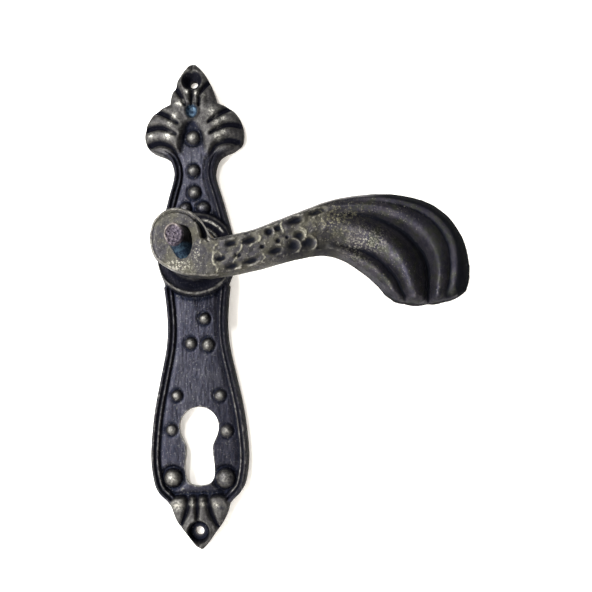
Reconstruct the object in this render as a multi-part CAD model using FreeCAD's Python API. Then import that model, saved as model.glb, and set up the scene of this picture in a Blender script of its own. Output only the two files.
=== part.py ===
"""Door lever handle on a long backplate, for a euro-profile lock cylinder.

Frame: the origin is where the spindle's axis meets the door face. X runs along the lever, +Y goes into
the door and +Z is up, so the visible front faces -Y. Lengths are millimetres. "Height" below means the
distance in front of the door.
"""
import FreeCAD, Part
import math
import os

V = FreeCAD.Vector

# --- backplate outline: (half width, z) of each landmark. The leaves keep their size at any length ---------
UPPER_LENGTH = 98.8               # spindle axis to the top tip
LOWER_LENGTH = 142.6              # spindle axis to the bottom tip
TOP_LEAF = (8.3, UPPER_LENGTH - 10.0)       # side of the top leaf, beside its screw
TOP_NOTCH = (11.7, UPPER_LENGTH - 20.0)     # where the leaf meets the side lobe
LOBE_TOP = (20.7, UPPER_LENGTH - 25.6)
LOBE_SIDE = (25.0, UPPER_LENGTH - 35.8)     # widest point of the side lobe
LOBE_CORNER = (22.6, UPPER_LENGTH - 43.6)
LOBE_UNDER = (15.4, UPPER_LENGTH - 47.2)
NECK = (10.5, UPPER_LENGTH - 56.0)          # narrowest point above the rosette
ROSETTE_TOP = (17.7, 12.0)
NECK_FLARE = (13.3, (NECK[1] + ROSETTE_TOP[1]) / 2 + 1.6)
ROSETTE_SIDE = (20.0, -1.5)
ROSETTE_FOOT = (15.9, -15.6)
WAIST_TOP = (16.4, -16.6)
WAIST = (14.1, -35.5)                       # narrowest point below the rosette
BELLY_FLARE = (18.3, -62.0)
BELLY = (23.5, -LOWER_LENGTH + 45.1)        # widest point, beside the cylinder hole
BELLY_FOOT = (19.0, -LOWER_LENGTH + 27.8)
BOTTOM_NOTCH = (13.9, -LOWER_LENGTH + 22.2)
BOTTOM_LEAF = (10.6, -LOWER_LENGTH + 13.3)

# --- backplate section ----------------------------------------------------------------------------------
RIM_HEIGHT = 8.0
RIM_WIDTH = 4.2                   # rim and its inner slope, from the outline to the sunk field
FIELD_HEIGHT = 5.8                # sunk field between the rims
LEAF_HEIGHT = 7.2                 # leaves and lobes
FACE_THICKNESS = 2.4
BACK_WALL = 2.6                   # side wall left round the hollow back
GROOVE_DEPTH = 1.3
GROOVE_WIDTH = 1.7
# each groove between the lobe's fingers: outer end, inner end (x, z above the lobe's widest point)
FINGER_GROOVES = [((17.6, 11.2), (10.0, 7.2)), ((24.0, 4.0), (9.6, 1.2)), ((22.4, -4.6), (9.0, -6.0))]
SCREW_INSET = 8.4                 # top tip to the upper screw
SCREW_INSET_LOW = 7.2             # bottom tip to the lower screw
SCREW_RADIUS = 2.1
SCREW_SEAT_RADIUS = 4.8
SCREW_SEAT_HEIGHT = 4.6

# --- cylinder hole --------------------------------------------------------------------------------------
CYLINDER_DISTANCE = 85.0          # spindle axis to cylinder axis
CYLINDER_RADIUS = 9.5
CYLINDER_TAIL_RADIUS = 7.2
CYLINDER_TAIL_DROP = 20.4         # cylinder axis to the centre of the rounded foot of the hole
CYLINDER_WAIST = 6.5

# --- studs cast on the plate: (x, z, radius, how far they stand out) ------------------------------------
LEAF_STUD = (-0.3, UPPER_LENGTH - 38.7, 3.7, 2.4)
FIELD_STUDS = [(-0.4, 43.1, 3.3, 2.2), (-0.2, 31.8, 3.4, 2.2), (4.2, 23.4, 3.4, 2.2), (-4.8, 23.5, 3.2, 2.1),
               (3.7, -32.4, 2.9, 2.2), (-3.4, -44.3, 3.0, 2.2), (5.2, -45.3, 3.3, 2.2),
               (-10.6, -69.6, 2.8, 2.0), (10.6, -70.2, 2.9, 2.0), (-13.3, -86.0, 2.9, 1.8),
               (13.4, -87.4, 3.3, 1.9), (-13.1, -108.9, 4.2, 2.6), (12.8, -109.8, 4.6, 2.8)]

# --- spindle, neck and bearing --------------------------------------------------------------------------
RUNNING_CLEARANCE = 0.05
AXIAL_PLAY = 0.1
SPINDLE_SIDE = 8.0
SPINDLE_PROJECTION = 62.0         # how far the spindle stands out behind the door face
SPINDLE_COVER = 19.0              # hub's front face to the spindle's front end
SOCKET_CLEARANCE = 0.05
SOCKET_EXTRA = 1.0
FLAT_WALL = 1.95                  # wall between the socket and the flats that carry the driver
JOURNAL_RADIUS = 8.0
NECK_RADIUS = JOURNAL_RADIUS + 0.8
NECK_BEAD_RADIUS = NECK_RADIUS + 1.8
NECK_BEAD_LENGTH = 3.0
BUSH_WALL = 1.7
BUSH_RADIUS = JOURNAL_RADIUS + RUNNING_CLEARANCE + BUSH_WALL
BUSH_FLANGE_RADIUS = NECK_BEAD_RADIUS + 1.6
BUSH_FLANGE = 1.2
WASHER_THICKNESS = 0.8
GRUB_RADIUS = 2.5
GRUB_SOCKET = 2.5                 # across the hexagon
GRUB_BEYOND_BEAD = 8.3
GRUB_LENGTH = NECK_RADIUS - SPINDLE_SIDE / 2 - 0.4

# --- spring pocket behind the rosette, from its centre outwards -----------------------------------------
POCKET_DEPTH = 7.7
BOSS_WALL = 1.55                  # boss that carries the bush and centres the spring
WIRE = 1.2
COIL_PITCH = 1.5
COIL_TURNS = 11.0 / 6.0
BOSS_RADIUS = BUSH_RADIUS + BOSS_WALL
COIL_RADIUS = BOSS_RADIUS + WIRE / 2 + 0.65
STOP_INNER_RADIUS = COIL_RADIUS + WIRE / 2 + 1.15
POCKET_RADIUS = STOP_INNER_RADIUS + 2.6
POCKET_WALL = 3.2
ROSETTE_RADIUS = POCKET_RADIUS + POCKET_WALL
DISH_RADIUS = ROSETTE_RADIUS - 2.2
COLLAR_RADIUS = BUSH_FLANGE_RADIUS + 1.2
DISH_HEIGHT = POCKET_DEPTH + 1.8
ROSETTE_HEIGHT = DISH_HEIGHT + 0.8
COLLAR_HEIGHT = DISH_HEIGHT + 3.4
COVER_THICKNESS = 0.7
COVER_EDGE = 1.0                  # how far the cover reaches over the pocket's edge
CLIP_THICKNESS = 1.0
CLIP_GROOVE_DEPTH = 0.8
CLIP_OUTER_RADIUS = JOURNAL_RADIUS + 1.6
CLIP_GAP = 60.0                   # degrees open
JOURNAL_END = 0.6                 # rear end of the neck, in front of the door
CLIP_HEIGHT = JOURNAL_END + 0.5   # rear face of the clip
DRIVER_THICKNESS = 1.4
DRIVER_HUB_RADIUS = JOURNAL_RADIUS + 2.4
DRIVER_EAR_RADIUS = POCKET_RADIUS - 1.2
DRIVER_EAR_WIDTH = 6.0
DRIVER_HEIGHT = CLIP_HEIGHT + CLIP_THICKNESS + 0.04    # rear face of the driver
BOSS_END = DRIVER_HEIGHT + DRIVER_THICKNESS + 0.25     # the boss's rear face
LEVER_TRAVEL = 45.0               # degrees
STOP_GAP = 1.2                    # degrees left between ear and stop at each limit
STOP_WIDTH = 15.0                 # degrees

# --- lever ----------------------------------------------------------------------------------------------
FACE_HEIGHT = 52.0                # front face of hub and bar
HUB_THICKNESS = 10.0
HUB_RADIUS = 13.2
HUB_CHAMFER = 1.6
PEG_BASE = (1.2, -4.0)            # centre of the leaning peg where it leaves the hub (x, z)
PEG_TIP = (-0.6, 0.4)
PEG_RADIUS = 5.4
PEG_TIP_RADIUS = 4.2
PEG_HEIGHT = 5.8                  # how far it stands out of the hub
PEG_STEM_RADIUS = 3.0
PEG_STEM_LENGTH = 4.0
LEVER_REACH = 125.0               # spindle axis to the far side of the shell
# stations along the grip: lower edge, upper edge (x, z at a reach of 125); then how far the face, the edges
# and the back lie behind the hub's front face, and how square the section is
STATIONS = [((6.0, -16.6), (8.0, -1.2), 0.0, 5.0, 9.8, 5.0),
            ((22.0, -17.5), (21.5, 0.1), 0.0, 5.0, 9.8, 5.0),
            ((37.0, -14.9), (35.0, 3.1), 0.4, 5.2, 10.2, 5.0),
            ((49.0, -12.0), (46.0, 6.8), 0.6, 5.6, 10.8, 4.4),
            ((60.0, -10.0), (58.0, 11.0), 0.6, 6.0, 11.4, 3.6),
            ((71.0, -12.6), (71.5, 14.6), 0.8, 6.6, 12.2, 3.0),
            ((77.8, -16.9), (86.0, 15.8), 0.8, 7.2, 12.8, 2.6),
            ((82.4, -20.8), (103.0, 13.6), 1.0, 7.8, 13.2, 2.4),
            ((85.6, -23.8), (116.6, 5.2), 1.4, 8.2, 13.4, 2.4),
            ((87.8, -26.2), (123.8, -7.6), 1.8, 8.6, 13.4, 2.4),
            ((89.4, -28.4), (124.7, -20.4), 2.4, 8.8, 13.2, 2.4),
            ((93.6, -31.0), (122.2, -28.2), 4.8, 8.8, 12.0, 2.2)]
LOBE_START = 5                    # station where the shell's flutes begin
# flutes of the shell: position across the grip at the first and last station, width, height
FLUTES = [(0.10, 0.09, 0.060, 1.6), (0.46, 0.36, 0.085, 3.6), (0.85, 0.67, 0.070, 3.2),
          (0.97, 0.87, 0.030, 1.4)]


def at_height(height, x=0.0, z=0.0):
    """The point (x, z) at a height in front of the door."""
    return V(x, -height, z)


def disc(radius, low, high, x=0.0, z=0.0):
    """A cylinder across the door, between two heights."""
    return Part.makeCylinder(radius, high - low, at_height(low, x, z), V(0, -1, 0))


def ring(outer, inner, low, high):
    return disc(outer, low, high).cut(disc(inner, low - 1.0, high + 1.0))


def plane_points(pairs, height=0.0, side=1.0):
    return [at_height(height, side * half, z) for half, z in pairs]


def smooth(points):
    """One smooth edge through the points."""
    curve = Part.BSplineCurve()
    curve.interpolate(points)
    return curve.toShape()


def prism(wire, low, high):
    """The wire lies at height 0; the solid fills it between two heights."""
    solid = Part.Face(wire).extrude(V(0, -(high - low), 0))
    solid.translate(V(0, -low, 0))
    return solid


def sector(inner, outer, start, width, low, high):
    """A block between two radii. Angles are degrees from -Z towards -X, as the lever's underside swings."""
    def point(radius, angle):
        a = math.radians(angle)
        return V(-radius * math.sin(a), 0, -radius * math.cos(a))
    mid, end = start + width / 2, start + width
    edges = [Part.Arc(point(outer, start), point(outer, mid), point(outer, end)).toShape(),
             Part.makeLine(point(outer, end), point(inner, end)),
             Part.Arc(point(inner, end), point(inner, mid), point(inner, start)).toShape(),
             Part.makeLine(point(inner, start), point(outer, start))]
    return prism(Part.Wire(edges), low, high)


# --- backplate ------------------------------------------------------------------------------------------

def half_outline(side):
    """One side's edges, from the top tip to the bottom tip."""
    tip, foot = at_height(0, 0, UPPER_LENGTH), at_height(0, 0, -LOWER_LENGTH)
    leaf, notch, low_notch, low_leaf = plane_points([TOP_LEAF, TOP_NOTCH, BOTTOM_NOTCH, BOTTOM_LEAF], 0, side)
    lobe = plane_points([TOP_NOTCH, LOBE_TOP, LOBE_SIDE, LOBE_CORNER, LOBE_UNDER, NECK, NECK_FLARE,
                         ROSETTE_TOP, ROSETTE_SIDE, ROSETTE_FOOT], 0, side)
    belly = plane_points([WAIST_TOP, WAIST, BELLY_FLARE, BELLY, BELLY_FOOT, BOTTOM_NOTCH], 0, side)
    return [Part.Arc(tip, leaf, notch).toShape(), smooth(lobe), Part.makeLine(lobe[-1], belly[0]),
            smooth(belly), Part.Arc(low_notch, low_leaf, foot).toShape()]


def outline_wire():
    right, left = half_outline(1.0), half_outline(-1.0)
    return Part.Wire(Part.__sortEdges__(right + left))


def panel_wire(pairs, inset, top, bottom):
    """A closed panel whose sides run inside the landmarks by inset, cut square at z top and bottom."""
    inner = [(half - inset, z) for half, z in pairs]
    right = smooth(plane_points(inner))
    left = smooth(plane_points(inner, 0, -1.0))
    ends = [Part.makeLine(plane_points([p], 0, -1.0)[0], plane_points([p])[0]) for p in (inner[0], inner[-1])]
    face = Part.Face(Part.Wire(Part.__sortEdges__([right, left] + ends)))
    reach = 2 * max(half for half, _ in pairs)
    band = Part.makePlane(2 * reach, top - bottom, V(-reach, 0, bottom), V(0, -1, 0), V(1, 0, 0))
    return face.common(band).Faces[0].OuterWire


UPPER_PANEL = [LOBE_UNDER, NECK, NECK_FLARE, ROSETTE_TOP, ROSETTE_SIDE]
LOWER_PANEL = [WAIST_TOP, WAIST, BELLY_FLARE, BELLY, BELLY_FOOT, BOTTOM_NOTCH]


def panels(inset, low, high, margin):
    """The upper and lower fields as solids, margin short of the leaves and of the rosette."""
    upper = panel_wire(UPPER_PANEL, inset, LOBE_UNDER[1] - margin, 0.0)
    lower = panel_wire(LOWER_PANEL, inset, WAIST_TOP[1], BOTTOM_NOTCH[1] + margin)
    keep_out = disc(ROSETTE_RADIUS, low - 1, high + 1)
    return [prism(w, low, high).cut(keep_out) for w in (upper, lower)]


def cylinder_hole(low, high):
    """Keyhole-shaped hole for a euro-profile cylinder."""
    tail_z = -CYLINDER_DISTANCE - CYLINDER_TAIL_DROP
    waist_z = -CYLINDER_DISTANCE - CYLINDER_RADIUS
    hole = disc(CYLINDER_RADIUS, low, high, 0, -CYLINDER_DISTANCE)
    hole = hole.fuse(disc(CYLINDER_TAIL_RADIUS, low, high, 0, tail_z))
    slot = Part.makeBox(2 * CYLINDER_WAIST, high - low, -CYLINDER_DISTANCE - tail_z,
                        V(-CYLINDER_WAIST, -high, tail_z))
    taper = [V(-CYLINDER_WAIST, 0, waist_z), V(CYLINDER_WAIST, 0, waist_z),
             V(CYLINDER_TAIL_RADIUS, 0, tail_z), V(-CYLINDER_TAIL_RADIUS, 0, tail_z)]
    foot = prism(Part.makePolygon(taper + taper[:1]), low, high)
    return hole.fuse(slot).fuse(foot).removeSplitter()


def groove(start, end):
    """A straight round-bottomed groove in a leaf, from one (x, z) to another."""
    a, b = at_height(LEAF_HEIGHT, *start), at_height(LEAF_HEIGHT, *end)
    along = b - a
    body = Part.makeCylinder(GROOVE_WIDTH / 2, along.Length, a, along)
    deep = V(0, GROOVE_DEPTH - GROOVE_WIDTH / 2, 0)
    body.translate(deep)
    return body


def leaf_grooves():
    """Grooves between the petals of the two leaves and of the side lobes."""
    seat, low_seat = UPPER_LENGTH - SCREW_INSET, -LOWER_LENGTH + SCREW_INSET_LOW
    inside = SCREW_SEAT_RADIUS / 2
    lines = [((0, seat - inside), (0, TOP_NOTCH[1] - 2.0)),
             ((0, low_seat + inside), (0, BOTTOM_NOTCH[1] - 1.0))]
    for side in (-1, 1):
        lines.append(((side * 7.6, TOP_LEAF[1] - 1.0), (side * 3.2, TOP_NOTCH[1] + 1.0)))
        lines.append(((side * 9.6, BOTTOM_LEAF[1] - 1.9), (side * 5.2, BOTTOM_NOTCH[1] - 1.6)))
        for ends in FINGER_GROOVES:
            lines.append([(side * x, LOBE_SIDE[1] + z) for x, z in ends])
    return [groove(a, b) for a, b in lines]


def stud(x, z, radius, proud, floor):
    """A domed stud: a ball that shows as a cap of the given radius above the floor it stands on."""
    ball = (radius ** 2 + proud ** 2) / (2 * proud)
    dome = Part.makeSphere(ball, at_height(floor + proud - ball, x, z))
    return dome.common(disc(radius + 0.01, floor - 0.6, floor + proud + 1, x, z))


def stops():
    """Cast lugs in the pocket that the driver's ear meets at each end of the travel."""
    ear = math.degrees(math.asin(DRIVER_EAR_WIDTH / 2 / STOP_INNER_RADIUS))
    starts = (-ear - STOP_GAP - STOP_WIDTH, LEVER_TRAVEL + ear + STOP_GAP)
    outer = POCKET_RADIUS + 0.5
    return [sector(STOP_INNER_RADIUS, outer, start, STOP_WIDTH, DRIVER_HEIGHT, POCKET_DEPTH + 0.2)
            for start in starts]


def leaf_hollow():
    """Hollow behind the side lobes and the stud between them."""
    depth = LEAF_HEIGHT - GROOVE_DEPTH - FACE_THICKNESS / 2
    radius = LOBE_SIDE[1] - LOBE_UNDER[1] - BACK_WALL
    reach = LOBE_SIDE[0] - BACK_WALL - radius
    ends = [disc(radius, -1, depth, side * reach, LOBE_SIDE[1]) for side in (-1, 1)]
    middle = Part.makeBox(2 * reach, depth + 1, 2 * radius, V(-reach, -depth, LOBE_SIDE[1] - radius))
    return middle.fuse(ends)


def backplate():
    body = prism(outline_wire(), 0, RIM_HEIGHT)
    body = body.fuse(disc(ROSETTE_RADIUS, 0, ROSETTE_HEIGHT))
    body = body.cut(disc(DISH_RADIUS, DISH_HEIGHT, ROSETTE_HEIGHT + 1))
    body = body.fuse(disc(COLLAR_RADIUS, 0, COLLAR_HEIGHT))
    body = body.cut(Part.makeCompound(panels(RIM_WIDTH, FIELD_HEIGHT, RIM_HEIGHT + 1, -1.0)))
    reach = 2 * LOBE_SIDE[0]
    for low_z, high_z in ((LOBE_UNDER[1] + 1.0, UPPER_LENGTH), (-LOWER_LENGTH, BOTTOM_NOTCH[1] - 1.0)):
        body = body.cut(Part.makeBox(2 * reach, 5, high_z - low_z + 1, V(-reach, -LEAF_HEIGHT - 5, low_z)))
    hollow = FIELD_HEIGHT - FACE_THICKNESS
    body = body.cut(Part.makeCompound(panels(BACK_WALL, -1, hollow, 3.0)))
    body = body.cut(leaf_hollow())
    body = body.cut(disc(POCKET_RADIUS, -1, POCKET_DEPTH))
    body = body.fuse(disc(BOSS_RADIUS, BOSS_END, POCKET_DEPTH + 0.5))
    body = body.fuse(stops())
    body = body.cut(disc(POCKET_RADIUS + COVER_EDGE, -1, COVER_THICKNESS))
    body = body.fuse([stud(*s, FIELD_HEIGHT) for s in FIELD_STUDS] + [stud(*LEAF_STUD, LEAF_HEIGHT)])
    body = body.cut(disc(BUSH_RADIUS, -1, COLLAR_HEIGHT + 1))
    body = body.cut(cylinder_hole(-1, ROSETTE_HEIGHT))
    for z in (UPPER_LENGTH - SCREW_INSET, -LOWER_LENGTH + SCREW_INSET_LOW):
        body = body.cut(disc(SCREW_SEAT_RADIUS, SCREW_SEAT_HEIGHT, RIM_HEIGHT + 1, 0, z))
        body = body.cut(disc(SCREW_RADIUS, -1, SCREW_SEAT_HEIGHT + 1, 0, z))
    return body.cut(leaf_grooves())


def spring_cover():
    """Pressed ring that closes the spring pocket at the door face."""
    return ring(POCKET_RADIUS + COVER_EDGE, CLIP_OUTER_RADIUS + 1.0, 0, COVER_THICKNESS)


# --- lever ----------------------------------------------------------------------------------------------

def flute_height(across, station):
    """How far the shell's flutes stand above the plain face, across the grip (0 lower edge, 1 upper edge)."""
    last = len(STATIONS) - 1
    share = max(0.0, (station - LOBE_START + 1) / (last - LOBE_START + 1))
    grown = min(1.0, 2.0 * share)
    return sum(height * grown * math.exp(-(((across - (first + (end - first) * share)) / width) ** 2) / 2)
               for first, end, width, height in FLUTES)


def section_wire(number, around=14):
    """The grip's closed section at one station: front from the lower to the upper edge, then back again."""
    lower, upper, *drops, square = STATIONS[number]
    face, edge, back = (FACE_HEIGHT - drop for drop in drops)
    stretch = LEVER_REACH / 125.0
    points = []
    for k in range(2 * around):
        angle = math.pi * k / around
        across = 0.5 - 0.5 * math.cos(angle)
        bulge = (1 - abs(2 * across - 1) ** square) ** (1 / 2.2)
        front = k <= around
        height = edge + ((face - edge) if front else (back - edge)) * bulge
        if front:
            height += flute_height(across, number) * bulge
        x = (lower[0] + (upper[0] - lower[0]) * across) * stretch
        points.append(at_height(height, x, lower[1] + (upper[1] - lower[1]) * across))
    curve = Part.BSplineCurve()
    curve.interpolate(Points=points, PeriodicFlag=True)
    return Part.Wire(curve.toShape())


def grip():
    return Part.makeLoft([section_wire(n) for n in range(len(STATIONS))], True, False)


def hub_web():
    """Joins the round hub to the bar: the scroll's underside sweeps out into the bar's lower edge."""
    under = [V(-10.4, 0, -8.2), V(-7.0, 0, -12.0), V(-1.0, 0, -14.9), V(7.0, 0, -17.0), V(16.0, 0, -17.9)]
    edges = [smooth(under), Part.makeLine(under[-1], V(16.0, 0, -0.5)),
             Part.makeLine(V(16.0, 0, -0.5), V(10.0, 0, -0.5)), Part.makeLine(V(10.0, 0, -0.5), under[0])]
    return prism(Part.Wire(edges), FACE_HEIGHT - HUB_THICKNESS + 0.6, FACE_HEIGHT - 0.4)


def shoulder_height():
    """Height of the neck's shoulder, which runs on the friction washer."""
    return COLLAR_HEIGHT + BUSH_FLANGE + WASHER_THICKNESS + AXIAL_PLAY


def neck():
    """Turned neck behind the hub, with its shoulder, journal, driver flats and clip groove."""
    shoulder = shoulder_height()
    body = disc(NECK_RADIUS, shoulder, FACE_HEIGHT - HUB_THICKNESS + 1)
    bead = disc(NECK_BEAD_RADIUS, shoulder, shoulder + NECK_BEAD_LENGTH)
    bead = bead.makeFillet(NECK_BEAD_LENGTH / 3, [e for e in bead.Edges if e.Closed])
    body = body.fuse(bead).fuse(disc(JOURNAL_RADIUS, JOURNAL_END, shoulder + 1))
    half = SPINDLE_SIDE / 2 + SOCKET_CLEARANCE + FLAT_WALL
    high = DRIVER_HEIGHT + DRIVER_THICKNESS
    for edge in (half, -half - JOURNAL_RADIUS):
        body = body.cut(Part.makeBox(JOURNAL_RADIUS, high, 4 * JOURNAL_RADIUS,
                                     V(edge, -high, -2 * JOURNAL_RADIUS)))
    groove_low, groove_high = CLIP_HEIGHT - 0.06, CLIP_HEIGHT + CLIP_THICKNESS + 0.02
    return body.cut(ring(JOURNAL_RADIUS + 1, JOURNAL_RADIUS - CLIP_GROOVE_DEPTH, groove_low, groove_high))


def socket():
    side = SPINDLE_SIDE + 2 * SOCKET_CLEARANCE
    top = FACE_HEIGHT - SPINDLE_COVER + SOCKET_EXTRA
    return Part.makeBox(side, top + 1, side, V(-side / 2, -top, -side / 2))


def grub_height():
    return shoulder_height() + NECK_BEAD_LENGTH + GRUB_BEYOND_BEAD


def lever():
    hub = disc(HUB_RADIUS, FACE_HEIGHT - HUB_THICKNESS, FACE_HEIGHT)
    hub = hub.makeChamfer(HUB_CHAMFER, [e for e in hub.Edges if e.Closed])
    body = hub.fuse(hub_web()).fuse(grip()).fuse(neck())
    body = body.cut(peg_stem())
    body = body.cut(socket())
    grub_hole = Part.makeCylinder(GRUB_RADIUS, NECK_RADIUS, at_height(grub_height()), V(0, 0, -1))
    return body.cut(grub_hole).removeSplitter()


def peg_stem():
    return disc(PEG_STEM_RADIUS, FACE_HEIGHT - PEG_STEM_LENGTH, FACE_HEIGHT, *PEG_BASE)


def hub_peg():
    """Leaning peg riveted into the scroll's eye."""
    base = Part.Wire(Part.makeCircle(PEG_RADIUS, at_height(FACE_HEIGHT, *PEG_BASE), V(0, -1, 0)))
    tip_height = FACE_HEIGHT + PEG_HEIGHT
    tip = Part.Wire(Part.makeCircle(PEG_TIP_RADIUS, at_height(tip_height, *PEG_TIP), V(0, -1, 0)))
    head = Part.makeLoft([base, tip], True, True)
    rim = [e for e in head.Edges if e.Closed and abs(e.BoundBox.YMin + tip_height) < 0.01]
    return head.makeFillet(1.0, rim).fuse(peg_stem())


# --- bought and turned pieces ---------------------------------------------------------------------------

def neck_bush():
    inner = JOURNAL_RADIUS + RUNNING_CLEARANCE
    sleeve = disc(BUSH_RADIUS, BOSS_END, COLLAR_HEIGHT)
    flange = disc(BUSH_FLANGE_RADIUS, COLLAR_HEIGHT, COLLAR_HEIGHT + BUSH_FLANGE)
    return sleeve.fuse(flange).cut(disc(inner, BOSS_END - 1, COLLAR_HEIGHT + 5)).removeSplitter()


def friction_washer():
    low = COLLAR_HEIGHT + BUSH_FLANGE
    return ring(NECK_BEAD_RADIUS, JOURNAL_RADIUS + 0.3, low, low + WASHER_THICKNESS)


def spring_driver():
    """Stamped plate on the neck's flats; its ear carries the spring and meets the stops."""
    low, high = DRIVER_HEIGHT, DRIVER_HEIGHT + DRIVER_THICKNESS
    plate = disc(DRIVER_HUB_RADIUS, low, high)
    ear = Part.makeBox(DRIVER_EAR_WIDTH, DRIVER_THICKNESS, DRIVER_EAR_RADIUS,
                       V(-DRIVER_EAR_WIDTH / 2, -high, -DRIVER_EAR_RADIUS))
    ear = ear.common(disc(DRIVER_EAR_RADIUS, low, high))
    hole = disc(JOURNAL_RADIUS + SOCKET_CLEARANCE, low - 1, high + 1)
    width = SPINDLE_SIDE + 2 * (FLAT_WALL + 2 * SOCKET_CLEARANCE)
    hole = hole.common(Part.makeBox(width, high + 1, 4 * JOURNAL_RADIUS,
                                    V(-width / 2, -high - 1, -2 * JOURNAL_RADIUS)))
    return plate.fuse(ear).cut(hole).removeSplitter()


def return_spring():
    """Torsion spring: its fixed leg lies past the end stop, its tang stands beside the driver's ear."""
    front = POCKET_DEPTH - 0.06 - WIRE / 2
    rear = front - COIL_TURNS * COIL_PITCH
    ear = math.degrees(math.asin((DRIVER_EAR_WIDTH / 2 + WIRE / 2 + 0.1) / COIL_RADIUS))
    start = ear - 360.0 * COIL_TURNS

    def spot(radius, angle, height):
        """Angles run as they do in sector."""
        a = math.radians(angle)
        return at_height(height, -radius * math.sin(a), -radius * math.cos(a))

    def coil_point(share):
        return spot(COIL_RADIUS, start + (ear - start) * share, front + (rear - front) * share)

    steps = round(24 * COIL_TURNS)
    points = [coil_point(k / steps) for k in range(steps + 1)]
    section = Part.Wire(Part.makeCircle(WIRE / 2, points[0], coil_point(0.001) - points[0]))
    coil = Part.Wire(smooth(points)).makePipeShell([section], True, False)
    leg = spot(POCKET_RADIUS - 0.4, start, front) - points[0]
    tang = V(0, rear - DRIVER_HEIGHT - 0.1, 0)
    return coil.fuse([Part.makeCylinder(WIRE / 2, run.Length, end, run)
                      for end, run in ((points[0], leg), (points[-1], tang))])


def circlip():
    high = CLIP_HEIGHT + CLIP_THICKNESS
    clip = ring(CLIP_OUTER_RADIUS, JOURNAL_RADIUS - CLIP_GROOVE_DEPTH + 0.02, CLIP_HEIGHT, high)
    return clip.cut(sector(0.5, CLIP_OUTER_RADIUS + 1, 90 - CLIP_GAP / 2, CLIP_GAP, 0, high + 1))


def spindle():
    front = FACE_HEIGHT - SPINDLE_COVER
    bar = Part.makeBox(SPINDLE_SIDE, front + SPINDLE_PROJECTION, SPINDLE_SIDE,
                       V(-SPINDLE_SIDE / 2, -front, -SPINDLE_SIDE / 2))
    ends = [e for e in bar.Edges if e.BoundBox.YLength < 0.01]
    return bar.makeChamfer(0.6, ends)


def grub_screw():
    top = SPINDLE_SIDE / 2
    height = grub_height()
    body = Part.makeCylinder(GRUB_RADIUS, GRUB_LENGTH, at_height(height, 0, -top), V(0, 0, -1))
    corner = GRUB_SOCKET / math.sqrt(3)
    angles = [math.radians(60 * k) for k in range(7)]
    hexagon = [at_height(height + corner * math.sin(a), corner * math.cos(a), -top - GRUB_LENGTH)
               for a in angles]
    return body.cut(Part.Face(Part.makePolygon(hexagon)).extrude(V(0, 0, GRUB_LENGTH / 2)))


def main():
    parts = {
        "backplate": backplate(),
        "neck_bush": neck_bush(),
        "friction_washer": friction_washer(),
        "return_spring": return_spring(),
        "spring_cover": spring_cover(),
        "lever": lever(),
        "hub_peg": hub_peg(),
        "spindle": spindle(),
        "grub_screw": grub_screw(),
        "spring_driver": spring_driver(),
        "circlip": circlip(),
    }
    os.makedirs("parts", exist_ok=True)
    for name, shape in parts.items():
        solids = shape.Solids
        shape = solids[0] if len(solids) == 1 else Part.makeCompound(solids)
        print(name, "solids", len(solids), "valid", shape.isValid(), "volume", round(shape.Volume, 1))
        shape.exportStep(f"parts/{name}.step")


main()
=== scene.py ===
"""Door lever handle on a long backplate: the finished surfaces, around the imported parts.

Sizes in this file are millimetres until a piece's mesh is finished, and "height" is the distance in front
of the door (towards -Y). The frame is the parts' own: X along the lever, +Y into the door, +Z up.
"""
import bmesh
import bpy
import math
import numpy as np
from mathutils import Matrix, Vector, noise


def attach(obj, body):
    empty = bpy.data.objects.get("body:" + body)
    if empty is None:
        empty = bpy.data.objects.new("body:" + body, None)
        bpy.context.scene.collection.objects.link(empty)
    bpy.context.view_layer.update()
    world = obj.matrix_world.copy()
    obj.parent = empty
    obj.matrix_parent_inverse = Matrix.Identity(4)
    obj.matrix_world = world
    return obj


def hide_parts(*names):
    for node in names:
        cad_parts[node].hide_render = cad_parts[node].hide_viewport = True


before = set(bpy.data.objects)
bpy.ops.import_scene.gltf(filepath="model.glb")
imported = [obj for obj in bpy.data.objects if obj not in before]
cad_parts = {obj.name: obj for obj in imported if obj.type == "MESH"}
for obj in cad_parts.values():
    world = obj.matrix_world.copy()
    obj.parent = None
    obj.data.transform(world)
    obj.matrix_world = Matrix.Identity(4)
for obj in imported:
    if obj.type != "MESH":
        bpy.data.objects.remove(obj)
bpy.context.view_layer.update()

MM = 0.001
PLATE_BODY, LEVER_BODY = "plate_body", "lever_body"

# --- backplate: outline of one side, (half width, z), in stretches that meet at a corner ---
LEAF_SIDE = [(0.0, 100.3), (2.6, 98.4), (5.6, 94.8), (8.8, 89.4), (11.0, 83.6), (11.8, 80.0), (12.0, 78.5)]
LOBE_AND_NECK = [(12.0, 78.5), (17.0, 76.2), (20.9, 73.5), (24.3, 68.3), (25.4, 62.8), (24.5, 57.4),
                 (22.2, 55.0), (19.4, 53.3), (15.3, 51.6), (12.3, 49.0), (10.5, 43.5), (10.8, 38.5),
                 (13.6, 28.5), (17.4, 13.5), (19.2, 5.0), (19.7, -2.0), (18.6, -8.0), (15.7, -15.3)]
WAIST_AND_BELLY = [(16.4, -16.2), (15.9, -20.0), (15.1, -28.0), (14.8, -37.5), (15.7, -47.5), (18.8, -62.5),
                   (21.7, -77.0), (23.4, -92.0), (23.6, -102.0), (22.2, -111.0), (20.1, -115.9),
                   (16.0, -120.1), (14.0, -122.2)]
FOOT_SIDE = [(14.0, -122.2), (13.0, -125.8), (11.0, -130.2), (7.4, -135.0), (3.6, -139.9), (1.4, -142.3),
             (0.0, -143.0)]

# rim of the sunk fields: (distance in from the outline, height)
RIM = [(0.0, 5.8), (0.3, 6.9), (0.85, 7.8), (1.4, 8.0), (1.95, 7.5), (2.45, 6.4), (2.95, 6.9), (3.4, 7.1),
       (3.9, 6.7), (4.5, 5.6), (5.3, 5.7), (7.0, 6.05), (30.0, 6.0)]
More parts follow.
